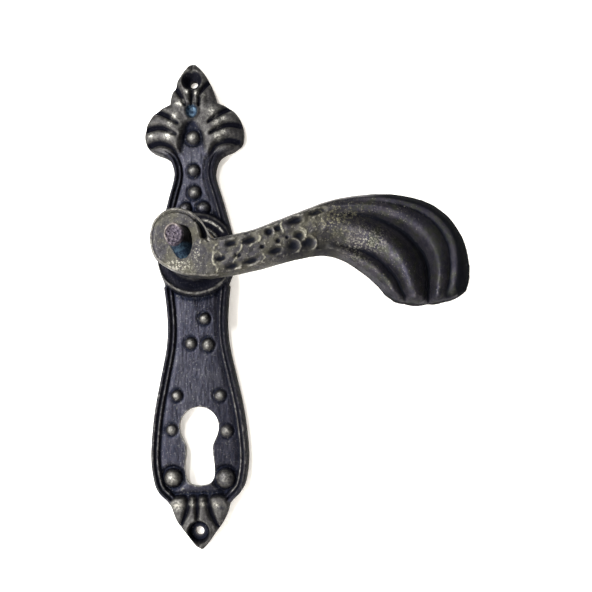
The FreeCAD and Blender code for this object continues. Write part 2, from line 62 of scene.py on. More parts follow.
# the plain rounded edge of the leaves and lobes
EDGE = [(0.0, 5.6), (0.3, 6.2), (0.9, 6.8), (1.8, 7.15), (3.0, 7.3), (30.0, 7.3)]
# rosette round the spindle: (radius, height)
ROSETTE = [(0.0, 12.4), (12.8, 12.4), (13.4, 11.9), (13.9, 10.0), (14.4, 8.6), (16.0, 8.3), (18.3, 8.6),
           (18.9, 9.2), (19.4, 10.0), (19.8, 10.2), (20.2, 9.9), (20.8, 8.4), (21.4, 7.2), (22.4, 6.4)]
# how high it may be near the plate's own edge: (distance in from the outline, height)
ROSETTE_EDGE = [(0.0, 4.4), (0.5, 7.2), (1.2, 9.6), (2.0, 10.7), (30.0, 13.0)]
ROSETTE_REACH = 22.0
# painted highlight arcs on the rosette's ring by the hub
HIGHLIGHT_ARCS = [(17.6, 40, 74), (13.7, 38, 62)]            # radius, from and to which angle in degrees

# studs: (x, z, radius, how far they stand out, how bright they are: rubbed metal and a painted highlight,
# lower for studs that lie in shade)
STUDS = [(-0.3, 60.1, 3.7, 2.5, 0.7), (-0.4, 43.1, 3.2, 2.2, 0.35), (-0.2, 31.8, 3.4, 2.3, 0.5),
         (4.2, 23.4, 3.5, 2.1, 0.05), (-4.8, 23.5, 3.2, 2.0, 0.05), (3.7, -32.4, 2.9, 2.1, 0.6),
         (-3.4, -44.3, 3.0, 2.1, 0.7), (5.2, -45.3, 3.3, 2.2, 0.7), (-10.6, -69.6, 2.8, 2.0, 0.6),
         (10.6, -70.2, 2.9, 1.9, 0.45), (-13.3, -86.0, 2.8, 1.7, 0.45), (13.4, -87.4, 3.2, 1.9, 0.5),
         (-13.1, -108.9, 4.3, 2.9, 1.0), (12.4, -109.8, 4.7, 2.8, 0.4)]
BIG_STUDS = STUDS[-2:]

# grooves of leaves and lobes: (x, z) from the outer end to the inner, then width and depth at the outer end
LEAF_GROOVES = [([(-0.7, 85.6), (-0.8, 82.0), (-0.9, 77.9)], 0.95, 2.4),
                ([(-9.6, 88.6), (-6.4, 82.9), (-3.9, 77.4)], 1.6, 2.4),
                ([(8.2, 89.6), (4.1, 84.2), (2.8, 77.0)], 1.4, 2.6),
                ([(0.0, 100.6), (-0.3, 98.0), (-0.4, 95.4)], 0.9, 1.4)]
LOBE_GROOVES = [([(19.2, 75.2), (13.6, 72.3), (7.9, 67.8)], 1.5, 2.6),
                ([(26.0, 65.6), (16.8, 66.2), (8.8, 62.0)], 1.6, 2.8),
                ([(25.0, 56.6), (17.2, 58.2), (11.2, 55.6), (8.6, 50.6), (7.9, 45.5)], 1.9, 2.4)]
FOOT_GROOVES = [([(-5.6, -119.8), (-6.6, -125.0), (-9.4, -131.8)], 1.4, 2.2),
                ([(-1.4, -119.4), (-1.5, -125.0), (-1.6, -130.5)], 1.2, 2.2),
                ([(3.8, -120.2), (5.6, -127.2), (9.6, -134.0)], 1.4, 2.4),
                ([(-0.9, -144.0), (-1.1, -141.5), (-0.8, -138.4)], 0.9, 1.6)]
FOOT_PETALS = [(-9.8, 4.2), (-3.6, 2.3), (1.2, 2.7), (8.6, 4.8)]    # x of each petal's top, half width
# screw seats: x, z, radius, radius of the flat round the hole, how dark the painted shade in the seat is
SCREW_SEATS = [(-0.3, 90.3, 5.1, 1.7, 0.85), (-1.0, -134.7, 5.3, 3.9, 0.25)]
SCREW_HOLES = [(0.1, 89.9), (-1.0, -134.8)]
SCREW_HOLE_RADIUS = 2.05
SEAT_HEIGHT = 2.4
FIELD_HEIGHT = 6.0
FIELD_TOP, FIELD_FOOT = 52.0, -118.0       # z of the sunk field's two ends
PATINA_DIMPLE = (-0.7, 74.2, 3.0, 3.9)                      # x, z, half width, half height
# places painted bright on the ornament, rubbed metal with painted highlights: x, z, radius
KNUCKLES = [(-9.4, 71.9, 1.3), (-11.8, 67.7, 1.2), (-12.9, 61.4, 1.7), (-22.0, 62.2, 1.0), (9.7, 72.9, 1.7),
            (12.0, 67.2, 1.5), (15.4, 69.4, 1.2), (12.4, 60.2, 1.6), (15.3, 62.2, 1.2), (-6.0, 79.4, 1.1),
            (-6.1, 77.6, 0.9), (-8.0, 78.2, 0.8), (5.4, 82.2, 1.1), (1.9, 83.5, 0.9), (-2.8, 84.6, 0.9),
            (-10.8, -121.8, 2.0), (-3.9, -121.2, 1.0), (1.4, -121.4, 1.0), (7.8, -121.8, 1.3)]
NICHE = [(-7.4, 55.0), (-5.7, 62.0), (-4.0, 67.0), (-1.0, 70.0), (2.0, 67.0), (4.2, 62.0), (5.6, 55.0)]

# keyhole for the lock cylinder, (half width, z below the cylinder's axis)
CYLINDER_Z = -85.0
KEYHOLE = [(0.0, 9.6), (3.7, 8.85), (6.8, 6.75), (8.9, 3.6), (9.6, 0.0), (9.0, -3.6), (7.6, -6.6),
           (6.5, -9.4), (6.5, -12.5), (7.1, -17.5), (7.2, -21.5), (6.4, -25.2), (4.2, -27.4), (0.0, -28.2)]

PLATE_COLUMNS = 108
PLATE_STEP = 0.62                 # distance along the outline between two rows of the plate's mesh
BACK_COLUMNS = 60
BACK_WALL = 2.6
SKIN = 2.6                        # thickness of the plate's face over its hollow back
POCKET_RADIUS = 16.9
POCKET_DEPTH = 7.7


# ------------------------------------------------------------------------------
# numbers
# ------------------------------------------------------------------------------

def smoothstep(low, high, value):
    t = np.clip((value - low) / (high - low), 0.0, 1.0)
    return t * t * (3.0 - 2.0 * t)


def monotone(points, value):
    """A smooth curve through (x, y) points that never overshoots them."""
    xs = np.array([p[0] for p in points], float)
    ys = np.array([p[1] for p in points], float)
    steps = np.diff(xs)
    slopes = np.diff(ys) / steps
    middle = np.where(slopes[1:] * slopes[:-1] > 0,
                      2 * slopes[1:] * slopes[:-1] / (slopes[1:] + slopes[:-1] + 1e-12), 0.0)
    tangents = np.concatenate([slopes[:1], middle, slopes[-1:]])
    value = np.clip(value, xs[0], xs[-1])
    k = np.clip(np.searchsorted(xs, value) - 1, 0, len(steps) - 1)
    t = (value - xs[k]) / steps[k]
    return (ys[k] * (2 * t ** 3 - 3 * t ** 2 + 1) + tangents[k] * steps[k] * (t ** 3 - 2 * t ** 2 + t)
            + ys[k + 1] * (3 * t ** 2 - 2 * t ** 3) + tangents[k + 1] * steps[k] * (t ** 3 - t ** 2))


def through(points, per_span):
    """Points on a smooth curve through the landmarks (Catmull-Rom)."""
    p = np.array(points, float)
    p = np.vstack([2 * p[0] - p[1], p, 2 * p[-1] - p[-2]])
    out = []
    for k in range(1, len(p) - 2):
        for t in np.linspace(0, 1, per_span, endpoint=False):
            out.append(0.5 * (2 * p[k] + (p[k + 1] - p[k - 1]) * t
                              + (2 * p[k - 1] - 5 * p[k] + 4 * p[k + 1] - p[k + 2]) * t ** 2
                              + (3 * p[k] - 3 * p[k + 1] + p[k + 2] - p[k - 1]) * t ** 3))
    out.append(p[-2])
    return np.array(out)


def evenly(curve, step):
    """The same curve with points an even step apart."""
    along = np.concatenate([[0], np.cumsum(np.hypot(*np.diff(curve, axis=0).T))])
    count = max(2, round(along[-1] / step) + 1)
    want = np.linspace(0, along[-1], count)
    return np.stack([np.interp(want, along, curve[:, k]) for k in range(curve.shape[1])], 1)


def distance_to(curve, x, z):
    """Distance from every point (x, z) to a curve."""
    best = np.full(x.shape, 1e9)
    for (ax, az), (bx, bz) in zip(curve[:-1], curve[1:]):
        dx, dz = bx - ax, bz - az
        t = np.clip(((x - ax) * dx + (z - az) * dz) / (dx * dx + dz * dz + 1e-12), 0, 1)
        best = np.minimum(best, np.hypot(x - ax - t * dx, z - az - t * dz))
    return best


def rough(x, y, z, size, seed):
    """Smooth random heights between about -1 and 1, size millimetres across in x, y and z."""
    shift = Vector((seed * 7.3, seed * 3.1, seed * 5.7))
    sx, sy, sz = size
    return np.array([noise.noise(Vector((a / sx, b / sy, c / sz)) + shift)
                     for a, b, c in zip(np.ravel(x), np.ravel(y), np.ravel(z))]).reshape(np.shape(x))


def rough_front(x, z, across, up, seed):
    """The same over the front alone, whatever the depth."""
    return rough(x, np.zeros_like(x), z, (across, 1.0, up), seed)


def away_from(spot, x, z):
    """Distance from a spot whose first two numbers are its x and z."""
    return np.hypot(x - spot[0], z - spot[1])


# ------------------------------------------------------------------------------
# pieces
# ------------------------------------------------------------------------------

def coordinates(bm):
    return np.array([v.co for v in bm.verts], float).reshape(-1, 3)


def place(bm, co):
    for vertex, position in zip(bm.verts, co):
        vertex.co = position


def finished(name, bm, material, smooth=True):
    """Turns a bmesh in millimetres into a piece in metres."""
    bmesh.ops.scale(bm, vec=(MM, MM, MM), verts=bm.verts)
    mesh = bpy.data.meshes.new(name)
    bm.to_mesh(mesh)
    bm.free()
    for polygon in mesh.polygons:
        polygon.use_smooth = smooth
    mesh.materials.append(material)
    piece = bpy.data.objects.new(name, mesh)
    bpy.context.scene.collection.objects.link(piece)
    return piece


def write_layer(mesh, name, values):
    layer = mesh.attributes.new(name, "FLOAT", "POINT")
    layer.data.foreach_set("value", np.asarray(values, np.float32))


def neighbours_mean(mesh, values, rounds):
    """Values averaged over each vertex's neighbours, again and again."""
    edges = np.zeros(len(mesh.edges) * 2, np.int32)
    mesh.edges.foreach_get("vertices", edges)
    a, b = edges.reshape(-1, 2).T
    here, there = np.concatenate([a, b]), np.concatenate([b, a])
    count = np.maximum(np.bincount(here, minlength=len(mesh.vertices)), 1)
    for _ in range(rounds):
        around = [np.bincount(here, column[there], len(mesh.vertices)) / count for column in values.T]
        values = (values + np.stack(around, 1)) / 2
    return values


def mesh_arrays(mesh):
    """Vertex positions in millimetres and vertex normals."""
    co = np.zeros(len(mesh.vertices) * 3)
    mesh.vertices.foreach_get("co", co)
    normal = np.zeros(len(mesh.vertices) * 3)
    mesh.vertices.foreach_get("normal", normal)
    return co.reshape(-1, 3) / MM, normal.reshape(-1, 3)


def set_coordinates(mesh, co):
    mesh.vertices.foreach_set("co", (co * MM).ravel())
    mesh.update()


def write_wear(piece, fine, coarse, scale):
    """Stores how far each vertex stands out of its smoothed surroundings (wear) or lies below them (dirt
    and painted shade in hollows).
    """
    mesh = piece.data
    co, normal = mesh_arrays(mesh)
    near = neighbours_mean(mesh, co, fine)
    far = neighbours_mean(mesh, near, coarse)
    stands = neighbours_mean(mesh, ((co - near) * normal).sum(1)[:, None], 1)[:, 0]
    sinks = neighbours_mean(mesh, ((far - co) * normal).sum(1)[:, None], 1)[:, 0]
    write_layer(mesh, "wear", np.clip(stands / scale, 0, 1))
    write_layer(mesh, "hollow_dirt_and_shade", np.clip(sinks / (2.0 * scale), 0, 1))


# --- backplate ----------------------------------------------------------------

def plate_outline():
    """(half width, z) from the top tip down, evenly spaced along each stretch."""
    stretches = []
    for points in (LEAF_SIDE, LOBE_AND_NECK, WAIST_AND_BELLY, FOOT_SIDE):
        stretches.append(evenly(through(points, 14), PLATE_STEP))
    rows = [stretches[0]]
    for stretch in stretches[1:]:
        joined = abs(stretch[0, 1] - rows[-1][-1, 1]) < 0.01
        rows.append(stretch[1:] if joined else stretch)
    rows = np.vstack(rows)
    keep = np.concatenate([[True], np.diff(rows[:, 1]) < -0.02])
    return rows[keep]


def groove_cut(grooves, x, z, mirrored=False):
    cut = np.zeros_like(x)
    for side in ((-1, 1) if mirrored else (1,)):
        for points, width, depth in grooves:
            curve = through([(side * px, pz) for px, pz in points], 7)
            along = np.hypot(x - curve[0, 0], z - curve[0, 1]) / np.hypot(*(curve[-1] - curve[0]))
            taper = 1.1 - 0.7 * np.clip(along, 0, 1) ** 1.5
            near = distance_to(curve, x, z)
            cut = np.maximum(cut, depth * (0.4 + 0.6 * taper) * np.exp(-(near / (width * taper)) ** 2))
    return cut


def petal_line(x):
    """z of the upper edge of the foot's petals."""
    bumps = [2.9 * np.sqrt(np.clip(1 - ((x - middle) / half) ** 2, 0, 1)) for middle, half in FOOT_PETALS]
    return -120.6 + np.max(bumps, axis=0)


def niche(x, z):
    """1 inside the pointed hollow round the topmost stud, fading to 0 over its soft edge."""
    curve = through(NICHE, 8)
    right, left = curve[:, 0][np.argmax(curve[:, 1]):], curve[:, 0][:np.argmax(curve[:, 1]) + 1]
    top = np.argmax(curve[:, 1])
    high = np.interp(z, curve[top:][::-1, 1], right[::-1])
    low = np.interp(z, curve[:top + 1, 1], left)
    inside = np.minimum(high - x, x - low)
    return smoothstep(-1.9, 1.9, inside) * smoothstep(71.0, 68.0, z) * (z > 48.0)


def dimple_oval(x, z):
    """How far out from the middle of the oval dimple; its edge is at 1."""
    dx, dz, half_width, half_height = PATINA_DIMPLE
    return np.hypot((x - dx) / half_width, (z - dz) / half_height)


def finger_knuckles(x, z):
    """The lobes' fingers stand highest near the middle of the plate and fall away outwards."""
    reach = np.hypot(np.abs(x) - 9.8, (z - 64.0) * 0.55)
    return 1.5 * np.exp(-(reach / 5.5) ** 2) - 1.1 * smoothstep(8.0, 15.0, reach)


def ornament_height(x, z, edge):
    """Height of the leaves, lobes and petals, before the cast skin is added."""
    height = monotone(EDGE, edge) + smoothstep(50, 56, z) * finger_knuckles(x, z) * (z < 79)
    inward = 0.35 + 0.65 * smoothstep(0.1, 1.6, edge)
    height = height - groove_cut(LOBE_GROOVES, x, z, True) * smoothstep(79, 76, z) * (z > 40) * inward
    height = height - groove_cut(LEAF_GROOVES, x, z) * smoothstep(75, 77, z)
    height = height - groove_cut(FOOT_GROOVES, x, z)
    # petals swell towards their ends, beside the oval dimple and above the foot
    height = height + 1.2 * np.exp(-((np.abs(x + 0.6) - 5.6) / 2.4) ** 2 - ((z - 80.0) / 3.8) ** 2)
    height = height + 1.3 * np.exp(-((z - petal_line(x) + 2.0) / 2.2) ** 2) * (z < -115)
    oval = dimple_oval(x, z)
    return height + 0.5 * np.exp(-((oval - 1.15) / 0.22) ** 2) - 1.3 * smoothstep(1.05, 0.6, oval)


def with_studs(height, x, z, field):
    """Adds the lumpy domes, each in a shallow ring; the field also dips round the two big ones."""
    for stud in BIG_STUDS:
        height = height - 0.9 * np.exp(-((away_from(stud, x, z) - stud[2] - 1.0) / 1.2) ** 2) * field
    for k, stud in enumerate(STUDS):
        away = away_from(stud, x, z)
        _, _, radius, proud, _ = stud
        lumpy = 1 + 0.09 * rough_front(x, z, 2.2, 2.2, 10.0 + k)
        share = np.clip(1 - (away / (radius * lumpy)) ** 2, 0, 1)
        dome = FIELD_HEIGHT + proud * share ** 0.62
        height = np.where(share > 0, np.maximum(height, dome), height)
        height = height - 0.35 * np.exp(-((away - radius - 0.5) / 0.55) ** 2)
    return height


def with_screw_seats(height, x, z, edge):
    """Sinks the two screw seats and raises a soft lip round each."""
    for screw in SCREW_SEATS:
        away = away_from(screw, x, z)
        _, _, seat, flat, _ = screw
        bowl = SEAT_HEIGHT + 4.7 * smoothstep(flat, seat + 0.5, away)
        height = np.where(away < seat + 0.2, np.minimum(height, bowl), height)
        height = height + 0.45 * np.exp(-((away - seat - 0.5) / 0.5) ** 2) * (edge > 0.6)
    return height


def plate_height(x, z, edge):
    """Height of the plate's front at (x, z), which lies edge inside the outline."""
    grain = rough_front(x, z, 0.55, 7.0, 1.0)
    pits = rough_front(x, z, 1.1, 1.6, 2.0)
    wander = rough_front(x, z, 5.0, 12.0, 3.0)
    field = smoothstep(4.2, 6.0, edge)
    height = monotone(RIM, edge) + field * (0.10 * grain + 0.07 * pits + 0.16 * wander)
    height = height + 0.05 * wander * (edge <= 5.0)

    leaf = smoothstep(49.0, 55.0, z) * (1 - niche(x, z))
    leaf = np.maximum(leaf, smoothstep(0.9, -0.7, z - petal_line(x)))
    ornament = ornament_height(x, z, edge) + 0.10 * pits + 0.10 * wander
    height = height * (1 - leaf) + ornament * leaf
    # the field dips before the foot's petals
    height = height - 0.9 * np.exp(-((z + 116.6) / 1.5) ** 2) * smoothstep(17.0, 11.0, np.abs(x))
    height = with_studs(height, x, z, field)

    radius = np.hypot(x, z)
    texture = (0.16 * pits + 0.12 * grain) * np.exp(-((radius - 15.6) / 1.6) ** 2)
    rosette = np.minimum(monotone(ROSETTE, radius) + texture, monotone(ROSETTE_EDGE, edge))
    blend = smoothstep(ROSETTE_REACH, ROSETTE_REACH - 1.4, radius)
    height = height * (1 - blend) + rosette * blend
    return with_screw_seats(height, x, z, edge)


def back_height(x, z, edge):
    """Height of the hollow back's ceiling; the rim, the leaves and the foot stay solid."""
    ceiling = (FIELD_HEIGHT - SKIN) * smoothstep(BACK_WALL - 0.3, BACK_WALL + 0.7, edge)
    ceiling = ceiling * (1 - np.maximum(smoothstep(75.0, 76.5, z), smoothstep(-114.5, -116.0, z)))
    radius = np.hypot(x, z)
    pocket = POCKET_DEPTH * smoothstep(POCKET_RADIUS + 0.5, POCKET_RADIUS - 0.3, radius)
    return np.maximum(ceiling, pocket * smoothstep(0.6, 1.4, edge))


def sheet_of_rows(rows, columns, crowd):
    """A grid with its rows from side to side of the outline: the bmesh, and each vertex's x and z."""
    bm = bmesh.new()
    bmesh.ops.create_grid(bm, x_segments=columns, y_segments=len(rows) - 1, size=1.0)
    co = coordinates(bm)
    across = np.abs(co[:, 0])
    spread = np.sign(co[:, 0]) * (1 - (1 - across) ** crowd)
    row = np.clip(np.rint((1 - co[:, 1]) / 2 * (len(rows) - 1)).astype(int), 0, len(rows) - 1)
    return bm, spread * rows[row, 0], rows[row, 1]


def keyhole_curve():
    right = evenly(through(KEYHOLE, 10), 0.6)
    return np.vstack([right, right[-2:0:-1] * [-1, 1]]) + [0, CYLINDER_Z]


def hole_cutter():
    """Prisms through the plate: the cylinder's keyhole and the two screw holes."""
    bm = bmesh.new()
    bm.faces.new([bm.verts.new((px, -20.0, pz)) for px, pz in keyhole_curve()])
    for sx, sz in SCREW_HOLES:
        made = bmesh.ops.create_circle(bm, cap_ends=True, radius=SCREW_HOLE_RADIUS, segments=40)
        for v in made["verts"]:
            v.co = (v.co.x + sx, -20.0, v.co.y + sz)
    grown = bmesh.ops.extrude_face_region(bm, geom=bm.faces[:])
    moved = [g for g in grown["geom"] if isinstance(g, bmesh.types.BMVert)]
    bmesh.ops.translate(bm, vec=(0, 30.0, 0), verts=moved)
    bmesh.ops.recalc_face_normals(bm, faces=bm.faces)
    return finished("hole_cutter", bm, None, False)


def with_modifier_applied(piece, kind, **settings):
    modifier = piece.modifiers.new(kind.lower(), kind)
    for key, value in settings.items():
        setattr(modifier, key, value)
    graph = bpy.context.evaluated_depsgraph_get()
    mesh = bpy.data.meshes.new_from_object(piece.evaluated_get(graph))
    piece.modifiers.clear()
    old = piece.data
    piece.data = mesh
    bpy.data.meshes.remove(old)
    mesh.name = piece.name
    return piece


def plate_shade(x, z, edge):
    """Painted shade on the plate, 0 to 1: blacker in its grooves, hollows and screw seats, at its rim,
    under the hub's ring and towards its right side, away from the lamp.
    """
    field = (z < FIELD_TOP) & (z > FIELD_FOOT)
    radius = np.hypot(x, z)
    cut = groove_cut(LOBE_GROOVES, x, z, True)
    cut = cut + groove_cut(LEAF_GROOVES, x, z) + groove_cut(FOOT_GROOVES, x, z)
    seats = [screw[4] * smoothstep(screw[2] + 0.2, screw[2] - 1.0, away_from(screw, x, z))
             for screw in SCREW_SEATS]
    shade = np.max([
        smoothstep(0.9, 0.3, edge) * np.where(field, 0.8, 0.55),
        0.6 * smoothstep(5.5, 2.0, edge) * (x > 0) * field,
        0.4 * smoothstep(5.0, 3.0, edge) * (x <= 0) * field,
        0.35 * smoothstep(0.0, 12.0, x) * field,
        0.30 * niche(x, z) * smoothstep(52.0, 58.0, z),
        0.65 * smoothstep(17.0, 23.5, x) * smoothstep(74.0, 66.0, z) * (z > 50),
        0.55 * smoothstep(6.0, 10.5, x) * smoothstep(88.0, 84.0, z) * (z > 77),
        0.93 * smoothstep(23.5, 21.0, radius) * smoothstep(-4.0, 6.0, z),
        0.45 * smoothstep(21.5, 20.8, radius),
        0.80 * smoothstep(19.2, 18.4, radius),
        0.97 * smoothstep(14.9, 14.2, radius),
        0.9 * smoothstep(0.4, 1.7, cut),
        0.8 * np.exp(-((dimple_oval(x, z) - 1.15) / 0.16) ** 2),
        *seats], axis=0)
    # studs with a brighter painted highlight are shaded less
    for stud in STUDS:
        shade = shade * (1 - 0.7 * stud[4] * on_stud(stud, x, z))
    return shade


def on_stud(stud, x, z):
    return smoothstep(stud[2] + 0.1, stud[2] - 0.7, away_from(stud, x, z))


def plate_cast(x, z):
    """Where the plate shows the grey metal of its leaves, lobes, petals and studs, 0 to 1."""
    cast = smoothstep(50.0, 55.0, z) * (1 - niche(x, z)) + smoothstep(0.5, -0.8, z - petal_line(x))
    for screw in SCREW_SEATS:
        cast = cast * (1 - smoothstep(screw[2] + 0.2, screw[2] - 0.4, away_from(screw, x, z)))
    # each stud's grey follows its brightness, which carries painted light: studs that lie in shade stay
    # darker
    for stud in STUDS:
        cast = np.maximum(cast, (0.15 + 0.85 * stud[4]) * on_stud(stud, x, z))
    return np.clip(cast, 0, 1)


def plate_rubbed_and_highlight(x, z):
    """Where the plate is painted bright, rubbed metal with painted highlights: the knuckles, the tops of
    the studs a little above and right of their middles, and two short painted highlight arcs by the hub.
    """
    spots = [np.exp(-(away_from(knuckle, x, z) / knuckle[2]) ** 2) for knuckle in KNUCKLES]
    spots += [0.85 * stud[4] * np.exp(-(away_from((stud[0] + 0.2, stud[1] + 0.3), x, z)
                                        / (0.42 * stud[2])) ** 2) for stud in STUDS]
    radius, angle = np.hypot(x, z), np.degrees(np.arctan2(z, x))
    for ring, low, high in HIGHLIGHT_ARCS:
        ends = smoothstep(low - 8, low + 4, angle) * smoothstep(high + 8, high - 4, angle)
        spots.append(0.95 * ends * np.exp(-((radius - ring) / 0.36) ** 2))
    return np.max(spots, axis=0)


def paint_plate(mesh, outline):
    co, _ = mesh_arrays(mesh)
    x, z, height = co[:, 0], co[:, 2], -co[:, 1]
    write_layer(mesh, "shade", plate_shade(x, z, distance_to(outline, x, z)))
    write_layer(mesh, "cast", plate_cast(x, z))
    write_layer(mesh, "rubbed_and_painted_highlight", plate_rubbed_and_highlight(x, z) * (height > 5.0))
    write_layer(mesh, "patina", smoothstep(1.05, 0.8, dimple_oval(x, z)) * (height > 4.6))


def backplate(material):
    rows = plate_outline()
    outline = np.vstack([rows, rows[::-1] * [-1, 1]])
    bm, x, z = sheet_of_rows(rows, PLATE_COLUMNS, 1.25)
    edge = distance_to(outline, x, z)
    place(bm, np.stack([x, -plate_height(x, z, edge), z], 1))
    bmesh.ops.remove_doubles(bm, verts=bm.verts, dist=0.01)
    # the wall: from the front's rim straight back to the door, in two steps
    for share in (0.5, 0.0):
        rim = [e for e in bm.edges if e.is_boundary]
        made = bmesh.ops.extrude_edge_only(bm, edges=rim)
        for v in made["geom"]:
            if isinstance(v, bmesh.types.BMVert):
                v.co.y *= share
    back, bx, bz = sheet_of_rows(rows, BACK_COLUMNS, 1.5)
    place(back, np.stack([bx, -back_height(bx, bz, distance_to(outline, bx, bz)), bz], 1))
    bmesh.ops.remove_doubles(back, verts=back.verts, dist=0.01)
    rear = bpy.data.meshes.new("rear")
    back.to_mesh(rear)
    back.free()
    bm.from_mesh(rear)
    bpy.data.meshes.remove(rear)
    bmesh.ops.remove_doubles(bm, verts=bm.verts, dist=0.02)
    bmesh.ops.holes_fill(bm, edges=bm.edges[:], sides=8)
    bmesh.ops.recalc_face_normals(bm, faces=bm.faces)
    piece = finished("cast_backplate", bm, material)
    cutter = hole_cutter()
    with_modifier_applied(piece, "BOOLEAN", object=cutter, operation="DIFFERENCE", solver="EXACT")
    bpy.data.objects.remove(cutter)
    write_wear(piece, 10, 30, 0.30)
    paint_plate(piece.data, outline)
    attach(piece, PLATE_BODY)
    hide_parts("backplate")
    return piece


# --- lever --------------------------------------------------------------------

FACE = 52.0                       # height of the hub's and the bar's front face
HUB_THICKNESS = 10.0
# the grip's two edges from the hub to the shell's end: lower (x, z), upper (x, z), then how far the edges
# and the back lie behind the face
GRIP = [((5.0, -16.9), (6.0, -0.6), 4.6, 9.8), ((13.6, -18.0), (14.0, -0.4), 4.6, 9.8),
        ((24.0, -17.3), (22.8, 0.8), 4.6, 9.8), ((36.0, -15.1), (33.0, 3.1), 4.8, 10.2),
        ((48.0, -12.1), (44.8, 7.3), 5.2, 10.8), ((59.4, -10.1), (56.8, 11.6), 5.6, 11.4),
        ((66.0, -10.5), (65.7, 14.6), 6.0, 12.0), ((72.4, -12.9), (75.9, 16.4), 6.6, 12.6),
        ((77.8, -16.6), (88.3, 17.2), 7.2, 13.0), ((81.8, -19.7), (99.8, 16.0), 7.8, 13.4),
        ((84.6, -22.4), (110.8, 12.4), 8.2, 13.6), ((86.6, -24.4), (119.4, 5.6), 8.8, 13.8),
        ((88.0, -26.1), (124.8, -3.4), 9.2, 13.8), ((89.0, -27.4), (127.1, -13.2), 9.6, 13.6),
        ((89.9, -28.4), (127.0, -21.2), 9.6, 13.4), ((91.4, -29.6), (125.3, -27.6), 9.6, 13.0)]
# across the front at a few places along the grip: place (0 hub, 1 end), then for the edge, lobe, groove,
# lobe, groove, lobe, groove, ridge and edge how far across (0 lower edge, 1 upper) and how far out of the
# face
SHELL = [
    (0.00, [0, .10, .24, .45, .66, .78, .84, .90, 1],
     [0, -.1, 0, 0, 0, 0, 0, -.1, 0]),
    (0.42, [0, .11, .24, .45, .68, .79, .85, .90, 1],
     [0, -.1, 0, .1, 0, 0, 0, -.1, 0]),
    (0.50, [0, .12, .22, .45, .70, .80, .86, .91, 1],
     [0, -.5, -.8, .2, -.3, 0, -.1, -.5, 0]),
    (0.57, [0, .11, .21, .45, .695, .80, .86, .91, 1],
     [0, -.7, -1.9, .6, -1.5, .1, -.4, -.9, 0]),
    (0.65, [0, .107, .227, .42, .665, .78, .85, .90, 1],
     [0, -.8, -3.1, 1.2, -3.6, .3, -.8, -.9, 0]),
    (0.73, [0, .106, .212, .375, .61, .74, .835, .88, 1],
     [0, -.9, -3.8, 1.8, -5.2, .6, -1.3, -.7, 0]),
    (0.81, [0, .096, .182, .325, .56, .695, .82, .865, 1],
     [0, -1.1, -4.2, 2.2, -6.4, .7, -1.9, -.6, 0]),
    (0.88, [0, .09, .177, .29, .545, .66, .795, .85, 1],
     [0, -1.3, -4.4, 2.0, -6.8, .4, -2.5, -.8, 0]),
    (0.955, [0, .085, .178, .285, .505, .61, .735, .80, 1],
     [0, -1.6, -4.6, 1.3, -7.0, -.2, -3.1, -1.5, 0]),
    (1.00, [0, .095, .186, .30, .49, .595, .715, .785, 1],
     [0, -2.6, -5.0, .1, -7.2, -1.5, -3.9, -2.6, 0])]
# hammer marks on the bar: x, z, half length, half width, depth
HAMMER_MARKS = [(23.2, -3.8, 2.7, 1.3, .50), (31.2, -2.8, 3.4, 1.5, .55), (39.8, 0.7, 1.8, 1.6, .60),
                (43.7, 1.9, 1.6, 1.5, .50), (51.3, 5.0, 4.0, 1.7, .65), (61.2, 8.5, 4.0, 1.4, .60),
                (18.9, -10.2, 2.5, 1.2, .45), (26.3, -9.2, 1.5, 0.9, .50), (23.8, -13.8, 3.4, 1.5, .55),
                (31.7, -11.8, 3.6, 1.4, .55), (36.9, -5.9, 1.0, 0.9, .60), (42.6, -7.7, 3.4, 1.7, .60),
                (43.8, -3.6, 1.1, 1.0, .50), (47.7, -2.2, 0.7, 0.7, .50), (50.4, -5.9, 2.8, 2.7, .60),
                (52.9, -1.8, 2.4, 2.3, .50), (56.8, -5.1, 3.2, 3.0, .60), (62.4, -7.1, 2.9, 1.8, .30)]
# the round marks' lip on the side away from the hub stands a little proud and carries a painted highlight
ROUND_MARKS = HAMMER_MARKS[14:17]            # these have a bright lip on the side away from the hub
# fine raised veins left by the casting, each through a few (x, z) points
VEINS = [[(17.5, -3.7), (16.0, -5.1), (15.6, -8.0), (15.2, -10.5), (15.8, -12.4), (17.1, -14.2),
          (16.8, -16.4)],
         [(15.6, -8.0), (17.8, -7.3), (19.2, -9.2)],
         [(46.1, -0.4), (45.2, 3.3), (45.6, 4.7)],
         [(27.6, -3.3), (27.9, -5.9), (26.4, -8.0), (24.9, -10.9), (23.8, -12.3)],
         [(31.2, -5.3), (33.7, -3.9), (36.0, -2.6), (35.7, -0.4)],
         [(36.4, -12.4), (37.9, -10.3), (37.2, -8.8)],
         [(53.1, 2.2), (55.5, 1.0), (56.0, -1.5), (55.0, -3.7)],
         [(9.2, 1.8), (10.1, -0.6), (10.0, -2.9)]]
GRIP_ROWS = 300
GRIP_AROUND = 240
END_ROWS = 16
REMESH_SIZE = 0.42                # edge of the finished casting's faces
# outline of the hub, round from the notch to the bar's lower edge
SCROLL = [(14.2, -0.7), (13.1, 1.6), (11.7, 4.5), (9.5, 8.0), (5.5, 11.4), (0.0, 13.1), (-5.6, 12.0),
          (-10.0, 8.3), (-12.2, 2.6), (-12.1, -3.4), (-10.3, -8.8), (-6.6, -12.1), (-2.2, -14.5),
          (4.4, -16.8), (13.2, -18.0)]
# the pit is a hollow; its darkness is painted shade
PIT = [(7.9, 8.0), (10.2, 4.9), (11.3, 2.0), (11.5, 0.2)]     # dark wedge inside the scroll's rim
BEAD = [(15.1, 8.2), (15.1, 10.0), (15.6, 10.6), (17.4, 10.6), (18.1, 9.9), (18.5, 9.1), (19.5, 8.8),
        (38.0, 8.8), (40.5, 9.3), (42.6, 11.0)]                # the neck: (height, radius)
